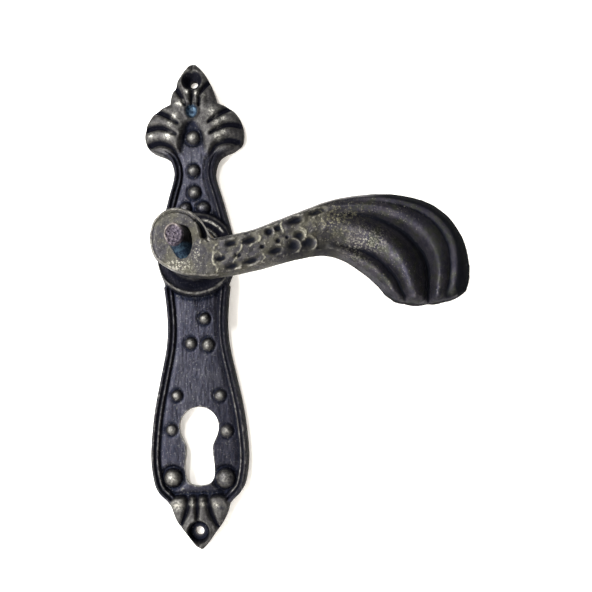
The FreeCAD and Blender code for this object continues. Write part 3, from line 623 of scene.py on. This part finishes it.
# the neck's end in the plate, with the circlip's groove: (height, radius)
JOURNAL = [(0.6, 0.0), (0.6, 7.6), (1.0, 8.0), (1.04, 8.0), (1.04, 7.2), (2.12, 7.2), (2.12, 8.0),
           (15.6, 8.0), (15.6, 0.0)]
FLAT_HALF = 6.0                   # half the width across the flats that carry the driver
FLAT_TOP = 3.5


def grip_rows():
    """Even rows along the grip (lower x, z, upper x, z, edge drop, back drop), and each row's place."""
    dense = through([(*lower, *upper, edge, back) for lower, upper, edge, back in GRIP], 40)
    middle = (dense[:, :2] + dense[:, 2:4]) / 2
    along = np.concatenate([[0], np.cumsum(np.hypot(*np.diff(middle, axis=0).T))])
    place_along = np.linspace(0, 1, GRIP_ROWS)
    rows = np.stack([np.interp(place_along * along[-1], along, dense[:, k]) for k in range(6)], 1)
    return rows, place_along


def front_profile(place_along, across, edge_drop):
    """How far in front of (or behind) the face the grip's front lies, across one row."""
    places = [row[0] for row in SHELL]
    nodes = np.array([[np.interp(place_along, places, [row[1][k] for row in SHELL]) for k in range(9)],
                      [np.interp(place_along, places, [row[2][k] for row in SHELL]) for k in range(9)]])
    spots, out = nodes
    out[0] -= edge_drop
    out[-1] -= edge_drop
    k = np.clip(np.searchsorted(spots, across) - 1, 0, 7)
    t = np.clip((across - spots[k]) / (spots[k + 1] - spots[k]), 0, 1)
    rising = (k % 2 == 0)                   # from an edge or groove up to a lobe
    sharp = np.sin(np.pi / 2 * t) ** 0.85
    falling = 1 - np.cos(np.pi / 2 * t)
    shell = smoothstep(0.42, 0.60, place_along)
    share = np.where(rising, sharp, falling) * shell + (1 - shell) * np.where(rising, t ** 0.8, t ** 1.25)
    return out[k] + (out[k + 1] - out[k]) * share


def grip_shape():
    """The bar and shell as one closed tube of rows round the grip."""
    rows, places = grip_rows()
    half = GRIP_AROUND // 2
    turn = np.arange(GRIP_AROUND + 1) / half
    front = turn <= 1
    across = np.where(front, 0.5 - 0.5 * np.cos(np.pi * turn), 0.5 + 0.5 * np.cos(np.pi * (turn - 1)))
    grid = []
    for row, place_along in zip(rows, places):
        lower, upper, edge, back = row[:2], row[2:4], row[4], row[5]
        belly = (1 - np.abs(2 * across - 1) ** 4.0) ** 0.55
        height = np.where(front, front_profile(place_along, across, edge), -edge - (back - edge) * belly)
        xz = lower + (upper - lower) * across[:, None]
        grid.append(np.column_stack([xz[:, 0], -(FACE + height), xz[:, 1]]))
    last = grid[-1]
    middle_height = -(FACE - (rows[-1][4] + rows[-1][5]) / 2)
    lobes = np.interp(across, across[:half + 1], -last[:half + 1, 1]) - FACE
    bulge = 4.6 * np.sin(np.pi * np.clip(across, 0.0, 1.0)) ** 0.55 + 0.10 * lobes
    for k in range(1, END_ROWS + 1):
        angle = math.pi / 2 * k / END_ROWS
        row = last.copy()
        row[:, 1] = middle_height + (last[:, 1] - middle_height) * math.cos(angle) ** 0.8
        row[:, 2] -= bulge * math.sin(angle)
        grid.append(row)
    grid = np.array(grid)
    bm = bmesh.new()
    bmesh.ops.create_grid(bm, x_segments=len(grid) - 1, y_segments=GRIP_AROUND, size=1.0)
    co = coordinates(bm)
    along = np.rint((co[:, 0] + 1) / 2 * (len(grid) - 1)).astype(int)
    around = np.rint((co[:, 1] + 1) / 2 * GRIP_AROUND).astype(int)
    place(bm, grid[along, around])
    bmesh.ops.remove_doubles(bm, verts=bm.verts, dist=0.005)
    bmesh.ops.holes_fill(bm, edges=[e for e in bm.edges if e.is_boundary], sides=0)
    bmesh.ops.recalc_face_normals(bm, faces=bm.faces)
    return bm


def scroll_outline():
    return evenly(through(SCROLL, 12), 0.5)


def hub_shape():
    """The scroll's solid: its outline, closed inside the bar, between the hub's back and front."""
    bm = bmesh.new()
    ring = np.vstack([scroll_outline(), [(17.0, -17.4), (17.0, -1.4)]])
    face = bm.faces.new([bm.verts.new((px, -(FACE - HUB_THICKNESS), pz)) for px, pz in ring])
    grown = bmesh.ops.extrude_face_region(bm, geom=[face])
    moved = [g for g in grown["geom"] if isinstance(g, bmesh.types.BMVert)]
    bmesh.ops.translate(bm, vec=(0, -HUB_THICKNESS, 0), verts=moved)
    ends = [e for e in bm.edges if abs(e.verts[0].co.y - e.verts[1].co.y) < 1e-6]
    bmesh.ops.bevel(bm, geom=ends, offset=1.0, offset_type="OFFSET", segments=3, profile=0.5,
                    affect="EDGES", material=-1)
    bmesh.ops.recalc_face_normals(bm, faces=bm.faces)
    return bm


def turned(profile, steps):
    """A lathe shape about the spindle's axis from (height, radius) points."""
    bm = bmesh.new()
    verts = [bm.verts.new((radius, -height, 0.0)) for height, radius in profile]
    edges = [bm.edges.new(pair) for pair in zip(verts[:-1], verts[1:])]
    bmesh.ops.spin(bm, geom=verts + edges, cent=(0, 0, 0), axis=(0, 1, 0), angle=2 * math.pi, steps=steps,
                   use_merge=True)
    bmesh.ops.remove_doubles(bm, verts=bm.verts, dist=0.002)
    bmesh.ops.recalc_face_normals(bm, faces=bm.faces)
    return bm


def joined(first, *others):
    """Adds the other bmeshes' shapes to the first."""
    for other in others:
        mesh = bpy.data.meshes.new("part")
        other.to_mesh(mesh)
        other.free()
        first.from_mesh(mesh)
        bpy.data.meshes.remove(mesh)
    return first


def hammered(x, z):
    """The bar's hammer marks: how deep, the painted shade inside them, darkest on the side towards the hub,
    and the lip of the round ones, which stands a little proud and carries a painted highlight.
    """
    sink, dark, lip = np.zeros((3, len(x)))
    turn = math.radians(15)
    for mark in HAMMER_MARKS:
        mx, mz, half_length, half_width, depth = mark
        u = ((x - mx) * math.cos(turn) + (z - mz) * math.sin(turn)) / half_length
        v = (-(x - mx) * math.sin(turn) + (z - mz) * math.cos(turn)) / half_width
        away = np.hypot(u, v)
        sink = np.maximum(sink, 1.5 * depth * smoothstep(1.3, 0.1, away))
        # painted shade inside the mark, deepest on its side towards the hub
        dark = np.maximum(dark, 0.7 * smoothstep(1.3, 0.45, away))
        dark = np.maximum(dark, smoothstep(0.85, 0.1, np.hypot(u + 0.55, v)))
        if mark in ROUND_MARKS:
            # painted highlight on the lip
            lip = np.maximum(lip, np.exp(-((away - 1.12) / 0.13) ** 2) * smoothstep(-0.35, 0.4, u))
    return sink, dark, lip


def veins(x, z):
    """1 on the casting's fine wandering veins."""
    wander_x = x + 0.55 * rough_front(x, z, 1.3, 1.3, 31.0)
    wander_z = z + 0.55 * rough_front(x, z, 1.3, 1.3, 32.0)
    line = np.zeros(len(x))
    for vein in VEINS:
        line = np.maximum(line, np.exp(-(distance_to(through(vein, 5), wander_x, wander_z) / 0.27) ** 2))
    return line


def beside_upper_edge(x, z):
    """Distance from the shell's upper edge, as a share of the gap between that edge and the ridge."""
    rows, places = grip_rows()
    width = np.hypot(rows[:, 2] - rows[:, 0], rows[:, 3] - rows[:, 1])
    gap = (1 - np.interp(places, [row[0] for row in SHELL], [row[1][7] for row in SHELL])) * width
    away = np.full(len(x), 1e9)
    for (px, pz), reach in zip(rows[::4, 2:4], gap[::4]):
        away = np.minimum(away, np.hypot(x - px, z - pz) / reach)
    return away


def dent_lever(mesh):
    """Relief of the finished casting: hammer marks, the scroll's rim and pit, and an uneven cast skin."""
    co, normal = mesh_arrays(mesh)
    x, z, height = co[:, 0], co[:, 2], -co[:, 1]
    facing = smoothstep(0.55, 0.9, -normal[:, 1]) * (height > 40)
    sink, _, lip = hammered(x, z)
    sink = sink - 0.22 * lip - 0.14 * veins(x, z)
    bar = smoothstep(13.0, 20.0, x) * smoothstep(70.0, 62.0, x)
    sink = sink + bar * 0.22 * rough_front(x, z, 3.2, 2.6, 21.0)
    near_rim = distance_to(scroll_outline()[::3], x, z)
    on_hub = (x < 14.0)
    sink = sink + on_hub * (0.40 * np.exp(-((near_rim - 1.7) / 0.45) ** 2) * smoothstep(-14.0, -9.0, z))
    sink = sink + on_hub * 3.6 * pit(x, z)
    skin = 0.07 * rough(x, height, z, (1.5, 1.5, 1.5), 22.0)
    skin = skin + 0.10 * rough(x, height, z, (5.0, 5.0, 5.0), 23.0)
    grain = smoothstep(62.0, 80.0, x) * 0.05 * rough(x, height, z, (0.8, 2.0, 2.6), 24.0)
    co[:, 1] += sink * facing
    co += normal * (skin + grain)[:, None] * (height > 19)[:, None]
    set_coordinates(mesh, co)


def pit(x, z):
    """The wedge-shaped hollow where the scroll's rim leaves the bar; its darkness is painted shade."""
    wedge = distance_to(through(PIT, 8), x, z)
    width = 0.30 + 0.85 * smoothstep(8.5, 0.5, z)
    return np.exp(-(wedge / width) ** 2) * smoothstep(9.5, 1.5, z)


def lever_shade(x, z, height, normal, front):
    """Painted shade on the lever, 0 to 1: black in its hammer marks, troughs and pit, on the shell's sides
    and end, and low on the bar.
    """
    _, dark, _ = hammered(x, z)
    side = smoothstep(0.5, 0.15, -normal[:, 1]) * smoothstep(62.0, 78.0, x)
    cap = smoothstep(-0.15, -0.6, normal[:, 2]) * smoothstep(84.0, 90.0, x)
    return np.max([
        dark * front,
        pit(x, z) * (x < 14.0),
        smoothstep(1.04, 0.86, beside_upper_edge(x, z)) * smoothstep(76.0, 92.0, x),
        0.97 * smoothstep(0.4, 4.4, FACE - height) * front * smoothstep(70.0, 80.0, x),
        0.6 * smoothstep(92.0, 116.0, x) * smoothstep(-40.0, -10.0, z),
        0.95 * side,
        0.6 * cap * smoothstep(-22.0, -27.0, z),
        0.6 * smoothstep(38.0, 50.0, x) * smoothstep(76.0, 66.0, x) * smoothstep(-3.0, -9.0, z)], axis=0)


def lever_crust(x, z):
    """Where pale specks sit: low on the hub, beside its eye and along the shell's middle flank."""
    return np.clip(np.exp(-((x - 0.5) / 6.0) ** 2 - ((z + 12.6) / 2.4) ** 2)
                   + 0.7 * np.exp(-((x - 8.0) / 1.8) ** 2 - ((z + 7.5) / 4.0) ** 2)
                   + 0.8 * np.exp(-((x - 84.0 - 0.5 * z) / 8.0) ** 2 - ((z + 6.0) / 7.0) ** 2), 0, 1)


def paint_lever(mesh):
    co, normal = mesh_arrays(mesh)
    x, z, height = co[:, 0], co[:, 2], -co[:, 1]
    front = smoothstep(0.2, 0.7, -normal[:, 1])
    _, _, lip = hammered(x, z)
    write_layer(mesh, "shade", lever_shade(x, z, height, normal, front) * (height > 30))
    # bright veins, and the painted highlight on the round marks' lips
    write_layer(mesh, "rubbed_and_painted_highlight", np.maximum(0.75 * veins(x, z), 0.3 * lip) * front)
    write_layer(mesh, "flecks", np.exp(-((x - 71.0) / 9.0) ** 2 - ((z - 5.0) / 7.0) ** 2) * front)
    write_layer(mesh, "crust", lever_crust(x, z) * front)
    write_layer(mesh, "bluish", smoothstep(58.0, 84.0, x))


def lever(material):
    casting = joined(grip_shape(), hub_shape(), turned([(15.1, 0.0), *BEAD, (44.0, 11.0), (44.0, 0.0)], 72))
    piece = finished("lever_casting", casting, material)
    with_modifier_applied(piece, "REMESH", mode="VOXEL", voxel_size=REMESH_SIZE * MM, adaptivity=0.0)
    co, _ = mesh_arrays(piece.data)
    set_coordinates(piece.data, neighbours_mean(piece.data, co, 3))
    dent_lever(piece.data)
    rear = turned(JOURNAL, 72)
    for v in rear.verts:
        if -v.co.y < FLAT_TOP:
            v.co.x = min(max(v.co.x, -FLAT_HALF), FLAT_HALF)
    bmesh.ops.scale(rear, vec=(MM, MM, MM), verts=rear.verts)
    whole = bmesh.new()
    whole.from_mesh(piece.data)
    joined(whole, rear)
    whole.to_mesh(piece.data)
    whole.free()
    for polygon in piece.data.polygons:
        polygon.use_smooth = True
    write_wear(piece, 9, 20, 0.16)
    paint_lever(piece.data)
    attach(piece, LEVER_BODY)
    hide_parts("lever")
    return piece


# --- peg in the scroll's eye --------------------------------------------------

# the peg leans: middle (x, z) and half sizes (x, z) at the face and at the tip
PEG_BASE, PEG_BASE_HALF = (2.0, -2.3), (4.5, 7.6)
PEG_TIP, PEG_TIP_HALF = (-0.6, 0.3), (4.2, 4.9)
PEG_HEIGHT = 6.2
# (share of the height, share of the half size) from the foot, over the tip's rim and into its hollow
PEG_PROFILE = [(-0.08, 1.02), (0.0, 1.0), (0.25, 0.97), (0.5, 0.95), (0.75, 0.96), (0.9, 0.98),
               (0.97, 0.94), (1.0, 0.86), (0.99, 0.76), (0.965, 0.6), (0.955, 0.4), (0.95, 0.2),
               (0.95, 0.0)]


def hub_peg(material):
    profile = evenly(through(PEG_PROFILE, 6), 0.035)
    bm = turned([(share, max(radius, 0.0)) for share, radius in profile], 80)
    bmesh.ops.holes_fill(bm, edges=bm.edges[:], sides=80)
    bmesh.ops.recalc_face_normals(bm, faces=bm.faces)
    shares = []
    for v in bm.verts:
        share = -v.co.y
        lean = min(max(share, 0.0), 1.0)
        middle = [a + (b - a) * lean for a, b in zip(PEG_BASE, PEG_TIP)]
        half = [a + (b - a) * lean for a, b in zip(PEG_BASE_HALF, PEG_TIP_HALF)]
        spot = Vector((v.co.x * half[0], share * PEG_HEIGHT, v.co.z * half[1]))
        spread = 1 + 0.05 * noise.noise(spot * 0.4 + Vector((0, 9, 0))) + 0.015 * noise.noise(spot * 1.6)
        pits = 0.20 * noise.noise(spot * 0.9) + 0.16 * noise.noise(spot * 2.2 + Vector((5, 0, 0)))
        radius = math.hypot(v.co.x, v.co.z)
        rise = share * PEG_HEIGHT + (pits if share > 0.9 and radius < 0.85 else 0.3 * pits)
        v.co = (spot.x * spread + middle[0], -FACE - rise, spot.z * spread + middle[1])
        shares.append((share, radius))
    piece = finished("eye_peg", bm, material)
    write_wear(piece, 5, 12, 0.10)
    co, _ = mesh_arrays(piece.data)
    share, radius = np.array(shares).T
    tip = smoothstep(0.80, 0.92, share)
    write_layer(piece.data, "tip", tip)
    # painted highlight on the tip's rim, on its upper left where the lamp falls
    lit = smoothstep(-2.0, 4.0, co[:, 2] - co[:, 0])
    write_layer(piece.data, "rim", tip * np.exp(-((radius - 0.9) / 0.11) ** 2) * lit)
    write_layer(piece.data, "patina", (1 - tip) * smoothstep(-2.4, -4.2, co[:, 2]))
    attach(piece, LEVER_BODY)
    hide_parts("hub_peg")
    return piece


# ------------------------------------------------------------------------------
# materials
# ------------------------------------------------------------------------------

class Finish:
    """A node material being put together, with short calls for the nodes it needs."""

    def __init__(self, name):
        self.material = bpy.data.materials.new(name)
        self.material.use_nodes = True
        self.nodes = self.material.node_tree.nodes
        self.links = self.material.node_tree.links
        self.shader = self.nodes["Principled BSDF"]
        self.where = self.nodes.new("ShaderNodeTexCoord").outputs["Object"]

    def feed(self, socket, value):
        if isinstance(value, bpy.types.NodeSocket):
            self.links.new(value, socket)
        else:
            socket.default_value = value

    def stretched(self, scale):
        node = self.nodes.new("ShaderNodeMapping")
        self.feed(node.inputs["Vector"], self.where)
        node.inputs["Scale"].default_value = scale
        return node.outputs["Vector"]

    def noise(self, size, detail=3.0, rough=0.55, vector=None):
        """Noise whose features are about size millimetres across."""
        node = self.nodes.new("ShaderNodeTexNoise")
        self.feed(node.inputs["Vector"], vector or self.where)
        node.inputs["Scale"].default_value = 1.0 / (size * MM)
        node.inputs["Detail"].default_value = detail
        node.inputs["Roughness"].default_value = rough
        return node.outputs["Fac"]

    def layer(self, name):
        node = self.nodes.new("ShaderNodeAttribute")
        node.attribute_name = name
        return node.outputs["Fac"]

    def band(self, value, low, high, to_low=0.0, to_high=1.0):
        node = self.nodes.new("ShaderNodeMapRange")
        node.interpolation_type = "SMOOTHSTEP"
        self.feed(node.inputs["Value"], value)
        for key, number in (("From Min", low), ("From Max", high), ("To Min", to_low), ("To Max", to_high)):
            node.inputs[key].default_value = number
        return node.outputs["Result"]

    def math(self, operation, a, b=0.0):
        node = self.nodes.new("ShaderNodeMath")
        node.operation = operation
        self.feed(node.inputs[0], a)
        self.feed(node.inputs[1], b)
        return node.outputs[0]

    def mix(self, share, a, b):
        node = self.nodes.new("ShaderNodeMix")
        node.data_type = "RGBA"
        self.feed(node.inputs["Factor"], share)
        for socket, colour in ((node.inputs["A"], a), (node.inputs["B"], b)):
            self.feed(socket, colour if isinstance(colour, bpy.types.NodeSocket) else (*colour, 1.0))
        return node.outputs["Result"]

    def bump(self, height, distance, below=None):
        node = self.nodes.new("ShaderNodeBump")
        node.inputs["Distance"].default_value = distance * MM
        self.feed(node.inputs["Height"], height)
        if below is not None:
            self.links.new(below, node.inputs["Normal"])
        return node.outputs["Normal"]

    def finish(self, colour, roughness, metallic, normal=None):
        """Connects the shader; only its metallic share reflects, so where the painted shade drops the
        metallic share the surface stays matt and black.
        """
        self.shader.inputs["Specular IOR Level"].default_value = 0.0
        self.feed(self.shader.inputs["Base Color"], colour)
        self.feed(self.shader.inputs["Roughness"], roughness)
        self.feed(self.shader.inputs["Metallic"], metallic)
        if normal is not None:
            self.links.new(normal, self.shader.inputs["Normal"])
        return self.material


def blackened_plate():
    f = Finish("blackened_plate")
    streaks = f.noise(0.8, 5, 0.7, f.stretched((1, 1, 0.22)))
    mottle = f.noise(1.5, 5, 0.7)
    blotches = f.noise(10, 4, 0.6)
    dark = f.mix(f.band(streaks, 0.36, 0.66), (0.012, 0.012, 0.018), (0.030, 0.029, 0.038))
    dark = f.mix(f.band(mottle, 0.42, 0.66, 0, 0.7), dark, (0.020, 0.023, 0.034))
    dark = f.mix(f.band(blotches, 0.45, 0.68, 0, 0.5), dark, (0.033, 0.033, 0.040))
    # dirt and painted shade: near black in the hollows
    dark = f.mix(f.band(f.layer("hollow_dirt_and_shade"), 0.10, 0.8, 0, 0.9), dark, (0.003, 0.004, 0.008))
    worn = f.math("ADD", f.layer("wear"), f.band(mottle, 0.35, 0.7, -0.30, 0.30))
    worn = f.band(worn, 0.32, 1.15)
    bright = f.mix(f.band(f.noise(2.5, 3), 0.4, 0.65), (0.095, 0.092, 0.080), (0.24, 0.235, 0.22))
    colour = f.mix(f.math("MULTIPLY", worn, f.band(f.layer("cast"), 0, 1, 0.85, 0.45)), dark, bright)
    ornament = f.mix(f.band(mottle, 0.4, 0.62), (0.036, 0.034, 0.033), (0.074, 0.072, 0.066))
    # the ornament's grey gives way to dirt and painted shade in the hollows
    clean = f.band(f.layer("hollow_dirt_and_shade"), 0.05, 0.5, 0.75, 0)
    colour = f.mix(f.math("MULTIPLY", f.layer("cast"), clean), colour, ornament)
    speck = f.band(f.noise(0.8, 2, 0.6), 0.60, 0.70, 0, 0.30)
    colour = f.mix(speck, colour, (0.16, 0.158, 0.15))
    # painted shade: near black where the shade layer is high
    colour = f.mix(f.math("MULTIPLY", f.layer("shade"), 0.88), colour, (0.003, 0.003, 0.005))
    # rubbed metal and painted highlights on knuckles, studs and the arcs by the hub
    rubbed_and_highlit = f.math("MULTIPLY", f.layer("rubbed_and_painted_highlight"), f.band(f.noise(1.1, 4, 0.7), 0.42, 0.60, 0.15, 1.0))
    colour = f.mix(rubbed_and_highlit, colour, (0.46, 0.45, 0.41))
    blue = f.mix(f.band(f.noise(1.6, 4), 0.4, 0.62), (0.02, 0.035, 0.06), (0.08, 0.125, 0.175))
    colour = f.mix(f.layer("patina"), colour, blue)
    normal = f.bump(f.noise(0.35, 3, 0.7), 0.05)
    normal = f.bump(streaks, 0.12, normal)
    normal = f.bump(mottle, 0.16, normal)
    roughness = f.band(f.noise(3, 3), 0.3, 0.7, 0.33, 0.46)
    roughness = f.math("ADD", roughness, f.band(f.layer("cast"), 0, 1, 0, 0.09))
    # the painted shade also loses its metallic share, so it stays matt
    return f.finish(colour, roughness, f.band(f.layer("shade"), 0, 1, 0.85, 0.04), normal)


def blackened_lever():
    f = Finish("blackened_lever")
    blotches = f.noise(7, 5, 0.65)
    fine = f.noise(1.2, 5, 0.7)
    olive = f.mix(f.band(blotches, 0.4, 0.62), (0.024, 0.023, 0.026), (0.040, 0.038, 0.031))
    olive = f.mix(f.band(fine, 0.45, 0.75, 0, 0.5), olive, (0.062, 0.060, 0.048))
    violet = f.mix(f.band(blotches, 0.4, 0.62), (0.024, 0.023, 0.033), (0.040, 0.037, 0.046))
    violet = f.mix(f.band(f.noise(5, 4, 0.7), 0.48, 0.62, 0, 0.7), violet, (0.034, 0.037, 0.025))
    violet = f.mix(f.band(fine, 0.48, 0.75, 0, 0.45), violet, (0.062, 0.060, 0.056))
    dark = f.mix(f.layer("bluish"), olive, violet)
    # dirt and painted shade: near black in the hollows
    dark = f.mix(f.band(f.layer("hollow_dirt_and_shade"), 0.08, 0.75, 0, 0.9), dark, (0.006, 0.007, 0.012))
    worn = f.math("ADD", f.layer("wear"), f.band(fine, 0.35, 0.7, -0.25, 0.25))
    worn = f.band(worn, 0.34, 1.1, 0, 0.8)
    worn = f.math("MULTIPLY", worn, f.band(f.layer("bluish"), 0.0, 1.0, 1.0, 0.35))
    bright = f.mix(f.band(f.noise(2.5, 3), 0.4, 0.65), (0.11, 0.105, 0.095), (0.23, 0.22, 0.20))
    colour = f.mix(worn, dark, bright)
    # painted shade: near black where the shade layer is high
    colour = f.mix(f.math("MULTIPLY", f.layer("shade"), 0.92), colour, (0.003, 0.0035, 0.005))
    # bright veins and the painted highlight on the round marks' lips
    veins_and_lip_highlight = f.math("MULTIPLY", f.layer("rubbed_and_painted_highlight"), f.band(f.noise(1.4, 3), 0.42, 0.56, 0.15, 1.0))
    colour = f.mix(veins_and_lip_highlight, colour, (0.24, 0.23, 0.18))
    fleck = f.math("MULTIPLY", f.layer("flecks"), f.band(f.noise(1.6, 5, 0.75), 0.50, 0.62, 0, 0.8))
    colour = f.mix(fleck, colour, (0.17, 0.16, 0.105))
    speck = f.math("MULTIPLY", f.layer("crust"), f.band(f.noise(0.9, 4, 0.7), 0.52, 0.60))
    speck = f.math("MAXIMUM", speck, f.band(f.noise(0.8, 2, 0.6), 0.61, 0.70, 0, 0.35))
    speck = f.math("MULTIPLY", speck, f.band(f.layer("shade"), 0, 0.6, 1, 0))
    colour = f.mix(speck, colour, (0.26, 0.25, 0.21))
    normal = f.bump(f.noise(0.5, 3, 0.7), 0.06)
    normal = f.bump(fine, 0.14, normal)
    roughness = f.band(f.noise(3, 3), 0.3, 0.7, 0.33, 0.46)
    # the painted shade also loses its metallic share, so it stays matt
    return f.finish(colour, roughness, f.band(f.layer("shade"), 0, 1, 0.85, 0.04), normal)


def peg_metal():
    f = Finish("eye_peg_metal")
    mottle = f.noise(1.1, 4, 0.7)
    pink = f.mix(f.band(mottle, 0.38, 0.62), (0.020, 0.017, 0.024), (0.066, 0.056, 0.067))
    # painted shade: the peg's sides near black, the tip lighter
    side = f.mix(f.band(mottle, 0.4, 0.62), (0.004, 0.004, 0.005), (0.012, 0.011, 0.011))
    colour = f.mix(f.layer("tip"), side, pink)
    patina = f.mix(f.band(f.noise(1.3, 4), 0.4, 0.65), (0.008, 0.014, 0.026), (0.030, 0.052, 0.075))
    colour = f.mix(f.layer("patina"), colour, patina)
    # painted highlight on the tip's rim
    colour = f.mix(f.math("MULTIPLY", f.layer("rim"), 0.6), colour, (0.20, 0.175, 0.15))
    return f.finish(colour, 0.40, 0.75, f.bump(mottle, 0.14))


def plated_steel(name, colour, roughness):
    """Bright turned or stamped steel, with faint scratches."""
    f = Finish(name)
    scratch = f.noise(0.6, 4, 0.6, f.stretched((1, 0.08, 1)))
    shade = f.mix(f.band(scratch, 0.35, 0.7), colour, tuple(c * 0.72 for c in colour))
    normal = f.bump(scratch, 0.03)
    return f.finish(shade, f.band(f.noise(4, 3), 0.3, 0.7, roughness, roughness + 0.16), 1.0, normal)


def dress(node, material):
    """Gives a CAD node a new material."""
    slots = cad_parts[node].data.materials
    slots.clear()
    slots.append(material)


# ------------------------------------------------------------------------------
# stage
# ------------------------------------------------------------------------------

WALL_Y = 0.0006                   # just behind the plate's back, in metres like the rest of the stage
FLOOR_Z = -0.45
ROOM = 1.6                        # half the width of the wall and the floor
FLAG_X = 0.55


def one_sided(name, colour, glow):
    """A matt surface seen from its front only, so that it never hides the object from behind."""
    material = bpy.data.materials.new(name)
    material.use_nodes = True
    nodes, links = material.node_tree.nodes, material.node_tree.links
    nodes.clear()
    out = nodes.new("ShaderNodeOutputMaterial")
    mix = nodes.new("ShaderNodeMixShader")
    both = nodes.new("ShaderNodeAddShader")
    matt = nodes.new("ShaderNodeBsdfDiffuse")
    matt.inputs["Color"].default_value = (*colour, 1)
    light = nodes.new("ShaderNodeEmission")
    light.inputs["Color"].default_value = (1.0, 0.93, 0.83, 1)
    light.inputs["Strength"].default_value = glow
    clear = nodes.new("ShaderNodeBsdfTransparent")
    side = nodes.new("ShaderNodeNewGeometry")
    links.new(matt.outputs[0], both.inputs[0])
    links.new(light.outputs[0], both.inputs[1])
    links.new(side.outputs["Backfacing"], mix.inputs[0])
    links.new(both.outputs[0], mix.inputs[1])
    links.new(clear.outputs[0], mix.inputs[2])
    links.new(mix.outputs[0], out.inputs["Surface"])
    return material


def sheet(name, corners, material):
    bm = bmesh.new()
    bm.faces.new([bm.verts.new(c) for c in corners])
    mesh = bpy.data.meshes.new(name)
    bm.to_mesh(mesh)
    bm.free()
    mesh.materials.append(material)
    obj = bpy.data.objects.new(name, mesh)
    bpy.context.scene.collection.objects.link(obj)
    return obj


def area_light(name, location, target, size, power, colour):
    light = bpy.data.lights.new(name, "AREA")
    light.shape, light.energy, light.color = "RECTANGLE", power, colour
    light.size, light.size_y = size
    obj = bpy.data.objects.new(name, light)
    obj.location = location
    obj.rotation_euler = (Vector(target) - Vector(location)).to_track_quat("-Z", "Y").to_euler()
    bpy.context.scene.collection.objects.link(obj)


def stage():
    white = one_sided("backdrop_white", (0.93, 0.925, 0.915), 0.35)
    black = one_sided("flag_black", (0.004, 0.004, 0.005), 0.0)
    sheet("backdrop", [(x, WALL_Y, z) for x, z in ((-ROOM, FLOOR_Z), (ROOM, FLOOR_Z), (ROOM, ROOM),
                                                   (-ROOM, ROOM))], white)
    sheet("floor", [(x, y, FLOOR_Z) for x, y in ((-ROOM, -2.0), (ROOM, -2.0), (ROOM, 2.0), (-ROOM, 2.0))],
          white)
    flag = sheet("flag", [(FLAG_X, y, z) for y, z in ((-0.9, -0.44), (-0.9, 0.8), (-0.05, 0.8),
                                                      (-0.05, -0.44))], black)
    flag.visible_camera = False
    world = bpy.data.worlds.new("studio")
    world.use_nodes = True
    background = world.node_tree.nodes["Background"]
    background.inputs["Color"].default_value = (1.0, 0.985, 0.96, 1)
    background.inputs["Strength"].default_value = 0.30
    bpy.context.scene.world = world
    area_light("key", (-0.62, -0.80, 0.05), (0.03, 0, -0.03), (0.35, 0.95), 21.0, (1.0, 0.99, 0.98))
    area_light("glint", (-0.16, -0.85, 0.30), (0.02, 0, 0), (0.07, 0.07), 4.5, (1.0, 0.99, 0.96))
    bpy.context.scene.view_settings.view_transform = "Standard"
    camera = bpy.data.cameras.new("camera")
    camera.sensor_width, camera.lens = 36.0, 41.96
    camera.clip_start = 0.01
    seat = bpy.data.objects.new("camera", camera)
    seat.location = (0.05887, -0.34514, -0.06045)
    seat.rotation_euler = [math.radians(a) for a in (96.347, 1.931, 1.816)]
    bpy.context.scene.collection.objects.link(seat)
    bpy.context.scene.camera = seat


def main():
    backplate(blackened_plate())
    lever_metal = blackened_lever()
    lever(lever_metal)
    hub_peg(peg_metal())
    zinc = plated_steel("zinc_plated_steel", (0.55, 0.55, 0.56), 0.28)
    oiled = plated_steel("oiled_spring_steel", (0.17, 0.17, 0.19), 0.34)
    brass = plated_steel("bush_brass", (0.05, 0.043, 0.032), 0.42)
    for node, material in (("neck_bush", brass), ("friction_washer", oiled), ("return_spring", oiled),
                           ("spring_cover", zinc), ("spindle", zinc), ("grub_screw", oiled),
                           ("spring_driver", zinc), ("circlip", oiled)):
        dress(node, material)
    stage()


main()
